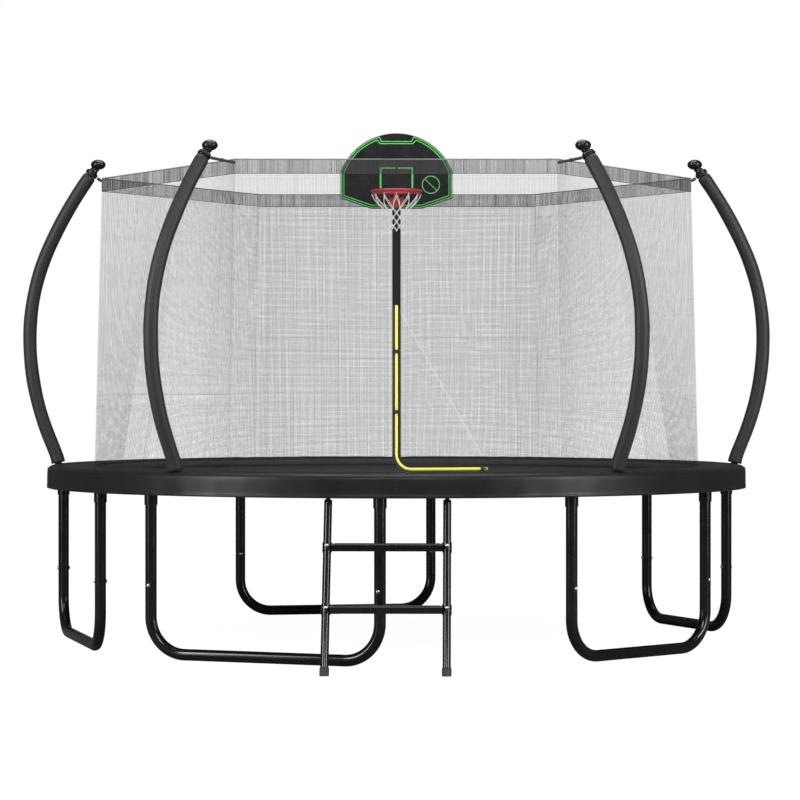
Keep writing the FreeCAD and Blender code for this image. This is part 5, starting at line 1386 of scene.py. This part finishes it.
class TRAMPOLINE_OT_door(bpy.types.Operator):
    """L-shaped zip with its teeth, its slider, and the two buckles across it"""

    bl_idname = "trampoline.door"
    bl_label = "Door"

    # Offsets across the zip's tape and its two black borders, with their thickness.
    TAPE, OUTSIDE, INSIDE = (-0.0062, 0.0062, 0.0012), (-0.0190, -0.0063, 0.0014), (0.0063, 0.0080, 0.0014)
    BEAD_LIFT, BEAD_RADIUS, TOOTH_LIFT = 0.0010, 0.0021, 0.0013
    # The slider's bridge, as places along the zip from the end of its foot and lifts.
    BRIDGE = [(0.027, 0.0062), (0.0255, 0.0085), (0.0215, 0.0090), (0.0175, 0.0085), (0.016, 0.0062)]
    SLIDER_END, BODY_SIZE, TAB_SIZE = ZIP_REACH - 0.016, (0.015, 0.0135, 0.0052), (0.0190, 0.0080, 0.0024)
    BUCKLE_LOW, BUCKLE_HIGH, BUCKLE_TALL, BUCKLE_WALL = 0.0018, 0.0108, 0.0178, 0.0022

    def execute(self, context):
        self.zip(context.scene.trampoline_sizes.tooth_pitch)
        self.slider()
        self.buckles()
        return {"FINISHED"}

    def zip(self, pitch):
        """Teeth along a rounded bead on a flat tape, with black borders."""
        line = zip_line(0.010)

        def band(name, low, high, thick, finish):
            return zip_band(name, line, low, [high] * len(line), thick, finish)

        tape = band("zip_tape", *self.TAPE, "zip_tape")
        coil = [DOOR.lifted(spot, self.BEAD_LIFT) for spot in line]
        bead = tube("zip_bead", coil, self.BEAD_RADIUS, "zip_teeth", 10)
        teeth_line, places = zip_line(pitch), []
        for spot, following in zip(teeth_line, teeth_line[1:]):
            ahead = following - spot
            if ahead.length < 1e-5:
                continue
            ahead.normalize()
            forward = DOOR.run * ahead.x + DOOR.rise * ahead.y
            turn = axes_matrix(forward, DOOR.outward.cross(forward), DOOR.outward)
            places.append((DOOR.lifted(spot, self.TOOTH_LIFT), turn))
        tooth = block("tooth", (0, 0, 0), AXES, (pitch * 0.5, 0.0078, 0.0030), "zip_teeth")
        whole = joined("zip_teeth", [copies("zip_teeth_row", tooth, places, "zip_teeth"), bead])
        put_on(tape, "frame", "zip_yellow", "door_zip")
        put_on(whole, "frame", "zip_yellow")
        border = joined("zip_border", [band("border_outside", *self.OUTSIDE, "webbing"),
                                       band("border_inside", *self.INSIDE, "webbing")])
        put_on(border, "frame", "strap_black")

    def slider(self):
        """The slider's wedge with its bridge and pull tab."""
        end = self.SLIDER_END
        body = block("slider_body", DOOR.at(end - 0.0225, 0, 0.0048), DOOR.axes, self.BODY_SIZE,
                     "buckle_plastic", 0.0012)
        bow = [DOOR.at(end - back, 0, lift) for back, lift in self.BRIDGE]
        bridge = tube("slider_bridge", bow, 0.0011, "buckle_plastic", 10)
        tab = block("slider_tab", DOOR.at(end - 0.010, 0, 0.0072), DOOR.axes, self.TAB_SIZE,
                    "buckle_plastic", 0.0009)
        piece = joined("zip_slider_body", [body, bridge, tab])
        put_on(piece, "slider", "slider_black", "zip_slider")

    def buckles(self):
        """For each buckle a shell with its mouth and strap, and a tongue with its grip."""
        low, high, tall = self.BUCKLE_LOW, self.BUCKLE_HIGH, self.BUCKLE_TALL
        middle, wall = (low + high) / 2, self.BUCKLE_WALL
        catches = []
        for label, height in BUCKLE_HEIGHTS.items():
            along, rise = DOOR.flat(middle_point(DOOR_PANEL, height))

            def part(name, start, end, wide, bottom, top, round_edges, aside=0.0):
                centre = DOOR.at(along + (start + end) / 2, rise + aside, (bottom + top) / 2)
                return block(f"{name}_{label}", centre, DOOR.axes, (end - start, wide, top - bottom),
                             "buckle_plastic", round_edges)

            catches += [part("catch_top", -0.021, 0.0019, tall, high - wall, high, 0.0009),
                        part("catch_floor", -0.021, 0.0019, tall, low, low + wall, 0.0009)]
            catches += [part("catch_wall", -0.021, 0.0018, 0.0031, low, high, 0.0008, side * 0.0073)
                        for side in (-1, 1)]
            catches += [part("catch_back", -0.021, -0.0152, tall, low, high, 0.0009),
                        part("strap_left", -0.0205, -0.0180, 0.0120, low - 0.0010, low + 0.0010, 0.0)]
            tongue = joined(f"buckle_tongue_{label}_moulded", [
                part("grip", 0.0026, 0.0168, tall, low, high, 0.0016),
                part("prong", -0.0138, 0.0040, 0.0098, middle - 0.0019, middle + 0.0019, 0.0008),
                part("rib", 0.0085, 0.0105, 0.0120, high - 0.0002, high + 0.0004, 0.0)])
            put_on(tongue, f"buckle_{label}", "buckle_black", f"buckle_tongue_{label}")
        put_on(joined("buckle_catch_shells", catches), "frame", "buckle_black", "buckle_catches")


class TRAMPOLINE_OT_hoop(bpy.types.Operator):
    """Hoop pole, board with its lines, red rim and its knotted cord net"""

    bl_idname = "trampoline.hoop"
    bl_label = "Hoop"

    # The board's outline: half widths, the heights of its low edge and corner, and its arch.
    HALF, FOOT, LOW, CORNER, ARCH, ARCH_CENTRE = 0.3195, 0.146, 2.335, 2.395, 0.34256, 2.42144
    # Half width of the notch in the top of the border, at its lips and its floor, and the floor's height.
    NOTCH_LIP, NOTCH_FLOOR, NOTCH_HEIGHT, NOTCH_INSET = 0.100, 0.087, 2.725, 0.010
    LIP_SLOPE, FLOOR_SLOPE, ARCH_STEPS = 1.05, 0.62, 20
    BORDERS, BORDER_WIDTH = {"border_outer": 0.0075, "border_inner": 0.0200}, 0.0040
    TARGET, TARGET_WIDTH = [(0.0905, 2.452), (0.0905, 2.566), (0.007, 2.566)], 0.0085
    SIGN_CENTRE, SIGN_RADIUS = Vector((0.196, 2.471)), 0.049
    SLASH, SLASH_WIDTH = Vector((0.72, -0.69)), 0.0036
    LOOPS, LOOP_HALF, LOOP_DROP, LOOP_DEPTH, LOOP_WIRE = 12, 0.010, 0.007, 0.013, 0.0022
    KNOT_DROPS = [0.094, 0.120, 0.146, 0.171, 0.197]
    WAIST, NARROWING, BELLY, SWAY = 0.0790, 0.0180, 0.009, 0.0045

    def execute(self, context):
        recoat("hoop_pole_coat", "hoop_pole", "hoop_bracket", "hoop_bolts")
        recoat("board_face", "backboard")
        recoat("rim_coat", "rim")
        self.lines()
        self.rim_loops()
        self.cord_net(context.scene.trampoline_sizes.hoop_cord / 2)
        return {"FINISHED"}

    def inset(self, inward):
        """The board's outline moved inwards, with the notch at the top of its border, as (x, z)."""
        slope = Vector((self.HALF - self.FOOT, self.CORNER - self.LOW)).normalized()
        start = Vector((self.FOOT, self.LOW)) + Vector((-slope.y, slope.x)) * inward
        side, reach = self.HALF - inward, self.ARCH - inward
        notch = self.NOTCH_LIP + (inward - self.NOTCH_INSET) * self.LIP_SLOPE
        right = [start + slope * ((self.LOW + inward - start.y) / slope.y),
                 start + slope * ((side - start.x) / slope.x),
                 Vector((side, self.ARCH_CENTRE + math.sqrt(reach ** 2 - side ** 2)))]
        first, last = math.acos(side / reach), math.acos(notch / reach)
        for index in range(1, self.ARCH_STEPS + 1):
            angle = first + (last - first) * index / self.ARCH_STEPS
            right.append(Vector((reach * math.cos(angle), self.ARCH_CENTRE + reach * math.sin(angle))))
        right.append(Vector((self.NOTCH_FLOOR + (inward - self.NOTCH_INSET) * self.FLOOR_SLOPE,
                             self.NOTCH_HEIGHT - inward)))
        return right + [Vector((-spot.x, spot.y)) for spot in reversed(right)]

    def lines(self):
        """Painted lines, a hair proud of the board."""
        pieces = [self.line(name, self.inset(inward), self.BORDER_WIDTH, True)
                  for name, inward in self.BORDERS.items()]
        for side in (-1, 1):
            target = [Vector((side * across, height)) for across, height in self.TARGET]
            pieces.append(self.line(f"target_{side}", target, self.TARGET_WIDTH, False))
        ring = round_points(self.SIGN_CENTRE, Vector((1, 0)), Vector((0, 1)), self.SIGN_RADIUS, 48)
        pieces.append(self.line("ring", ring, self.BORDER_WIDTH, True))
        slash = self.SLASH * (self.SIGN_RADIUS - 0.002)
        ends = [self.SIGN_CENTRE - slash, self.SIGN_CENTRE + slash]
        pieces.append(self.line("slash", ends, self.SLASH_WIDTH, False))
        put_on(joined("board_lines", pieces), "frame", "board_black")

    def line(self, name, spots, width, closed):
        """A flat painted line on the board's face, through points given as (x, z)."""
        count, edges = len(spots), []
        for index, spot in enumerate(spots):
            before = spots[index - 1] if closed or index else None
            after = spots[(index + 1) % count] if closed or index + 1 < count else None
            into = (after - spot if before is None else spot - before).normalized()
            away = into if after is None else (after - spot).normalized()
            middle = (into + away).normalized()
            aside = Vector((-middle.y, middle.x))
            reach = width / 2 / max(0.3, aside.dot(Vector((-into.y, into.x))))
            edges.append([spot + aside * offset for offset in (-reach, reach)])

        def place(flat, depth):
            return Vector((flat.x, BOARD_FACE + depth, flat.y))

        return flat_band(name, edges, 0.0005, place, "board_line", closed)

    def rim_loops(self):
        """Twelve welded wire loops under the rim, from which the cords hang."""
        lines = []
        turns = [math.pi * step / 12 for step in range(13)]
        for index in range(self.LOOPS):
            spot = RIM_CENTRE + polar(RIM_RADIUS, 30 * index)
            across = polar(1, 30 * index + 90)
            bow = [spot + across * self.LOOP_HALF * math.cos(turn)
                   - Vector((0, 0, self.LOOP_DROP + self.LOOP_DEPTH * math.sin(turn))) for turn in turns]
            lines.append((bow, self.LOOP_WIRE, False))
        put_on(strands("rim_wire_loops", lines, "rim_coat", 8), "frame", "rim_red")

    def cord_net(self, thick):
        """Twelve loops on the rim, drawn in to a waist, then five rows of knotted meshes."""
        drops = [*self.KNOT_DROPS, CORD_NET_DROP - thick]
        random.seed(31)

        def knot(row, index):
            radius = self.WAIST - self.NARROWING * (row / (len(drops) - 1))
            return RIM_CENTRE + polar(radius, 30 * index + (15 if row % 2 == 0 else 0), -drops[row])

        lines, wrap = [], self.LOOP_WIRE + thick
        for index in range(self.LOOPS):
            ray, across = polar(1, 30 * index), polar(1, 30 * index + 90)
            low = RIM_CENTRE + polar(RIM_RADIUS, 30 * index) - UP * (self.LOOP_DROP + self.LOOP_DEPTH)
            lines.append((round_points(low, ray, UP, wrap, 16), thick, True))
            start = low - UP * wrap
            for side in (-1, 0):
                end, sway = knot(0, index + side), across * (self.SWAY if side == 0 else -self.SWAY)
                path = []
                for share in (step / 12 for step in range(13)):
                    belly = math.sin(math.pi * share)
                    path.append(start.lerp(end, share) + ray * self.BELLY * belly + sway * belly)
                lines.append((path, thick, False))
        for row in range(len(drops) - 1):
            for index in range(self.LOOPS):
                for side in (0, 1) if row % 2 == 0 else (-1, 0):
                    first, last = knot(row, index), knot(row + 1, index + side)
                    middle = (first + last) / 2
                    middle += (middle - RIM_CENTRE).normalized() * random.uniform(-0.0006, 0.0006)
                    lines.append(([first, middle, last], thick * 0.92, False))
        knots = [(knot(row, index), level_turn(random.uniform(0, 3)))
                 for row in range(len(drops)) for index in range(self.LOOPS)]
        cords = strands("rim_cords", lines, "hoop_cord", 8)
        profile = [(thick * height, thick * radius)
                   for height, radius in ((-1.5, 0.5), (-1.1, 1.35), (0.0, 1.6), (1.1, 1.35), (1.5, 0.5))]
        bead = turned("knot", profile, (0, 0, 0), UP, "hoop_cord", 10)
        piece = joined("rim_cord_net", [cords, copies("rim_knots", bead, knots, "hoop_cord")])
        put_on(piece, "frame", "cord_white", "rim_net")


class TRAMPOLINE_OT_ladder(bpy.types.Operator):
    """Ladder with ribs on its treads and silver bolts"""

    bl_idname = "trampoline.ladder"
    bl_label = "Ladder"

    OVAL = Matrix.Diagonal((1.30, 0.85, 1.0, 1.0))
    RIB_SIZE = (0.490, 0.0036, 0.0022)

    def execute(self, context):
        recoat("ladder_coat", "ladder_rail_left", "ladder_rail_right", "ladder_treads")
        recoat("foot_rubber", "ladder_feet")
        slope = (LADDER_HEAD - LADDER_FOOT).normalized()
        forward = Vector((0, -slope.z, slope.y))
        turn = Matrix.Rotation(LADDER_TURN, 3, "Z")
        treads = [LADDER_FOOT + slope * (height / slope.z) for height in TREAD_HEIGHTS]
        self.bolts(treads, forward, turn)
        self.ribs(treads, turn, context.scene.trampoline_sizes.tread_ribs)
        return {"FINISHED"}

    def bolts(self, treads, forward, turn):
        """Oval domes on both sides of each rail."""
        places = []
        for spot in treads:
            for side in (-1, 1):
                centre = spot + Vector((side * TREAD_BOLT_REACH, 0, 0))
                places += [(turn @ (centre + way * TREAD_BOLT_SEAT), facing(turn @ way))
                           for way in (forward, -forward)]
        dome = domed_nut("tread_bolt", *TREAD_DOME)
        dome.data.transform(self.OVAL)
        put_on(copies("ladder_bolt_domes", dome, places, "zinc"), "ladder", "bolt_silver", "ladder_bolts")

    def ribs(self, treads, turn, count):
        """Low ribs along the top of each tread."""
        places = []
        for spot in treads:
            for index in range(count):
                across = -RIB_SPREAD / 2 + RIB_SPREAD * index / max(1, count - 1)
                places.append((turn @ (spot + Vector((0, across, TREAD_TOP))), turn))
        rib = block("rib", (0, 0, 0), AXES, self.RIB_SIZE, "ladder_coat", 0.0007)
        put_on(copies("tread_ribs", rib, places, "ladder_coat"), "ladder", "tube_black")


class TRAMPOLINE_PT_panel(bpy.types.Panel):
    """Buttons and settings of the trampoline"""

    bl_label = "Trampoline"
    bl_idname = "TRAMPOLINE_PT_panel"
    bl_space_type = "VIEW_3D"
    bl_region_type = "UI"
    bl_category = "Trampoline"

    def draw(self, context):
        layout = self.layout
        for operator in OPERATORS:
            layout.operator(operator.bl_idname)
        for label in SETTINGS:
            holder, box = getattr(context.scene, label), layout.box()
            for name in holder.bl_rna.properties.keys():
                if name not in ("rna_type", "name"):
                    box.prop(holder, name)


SETTINGS = {
    "trampoline_colours": TrampolineColours,
    "trampoline_sizes": TrampolineSizes,
    "trampoline_studio": TrampolineStudio,
}
OPERATORS = [
    TRAMPOLINE_OT_stage,
    TRAMPOLINE_OT_steel,
    TRAMPOLINE_OT_bed,
    TRAMPOLINE_OT_pad,
    TRAMPOLINE_OT_poles,
    TRAMPOLINE_OT_net,
    TRAMPOLINE_OT_door,
    TRAMPOLINE_OT_hoop,
    TRAMPOLINE_OT_ladder,
]
CLASSES = [*SETTINGS.values(), *OPERATORS, TRAMPOLINE_PT_panel]


def register():
    for item in CLASSES:
        bpy.utils.register_class(item)
    for name, group in SETTINGS.items():
        setattr(bpy.types.Scene, name, PointerProperty(type=group))


def unregister():
    for name in SETTINGS:
        delattr(bpy.types.Scene, name)
    for item in reversed(CLASSES):
        bpy.utils.unregister_class(item)


def main():
    register()
    bpy.ops.trampoline.stage()
    bpy.ops.trampoline.steel()
    bpy.ops.trampoline.bed()
    bpy.ops.trampoline.pad()
    bpy.ops.trampoline.poles()
    bpy.ops.trampoline.net()
    bpy.ops.trampoline.door()
    bpy.ops.trampoline.hoop()
    bpy.ops.trampoline.ladder()


if __name__ == "__main__":
    main()
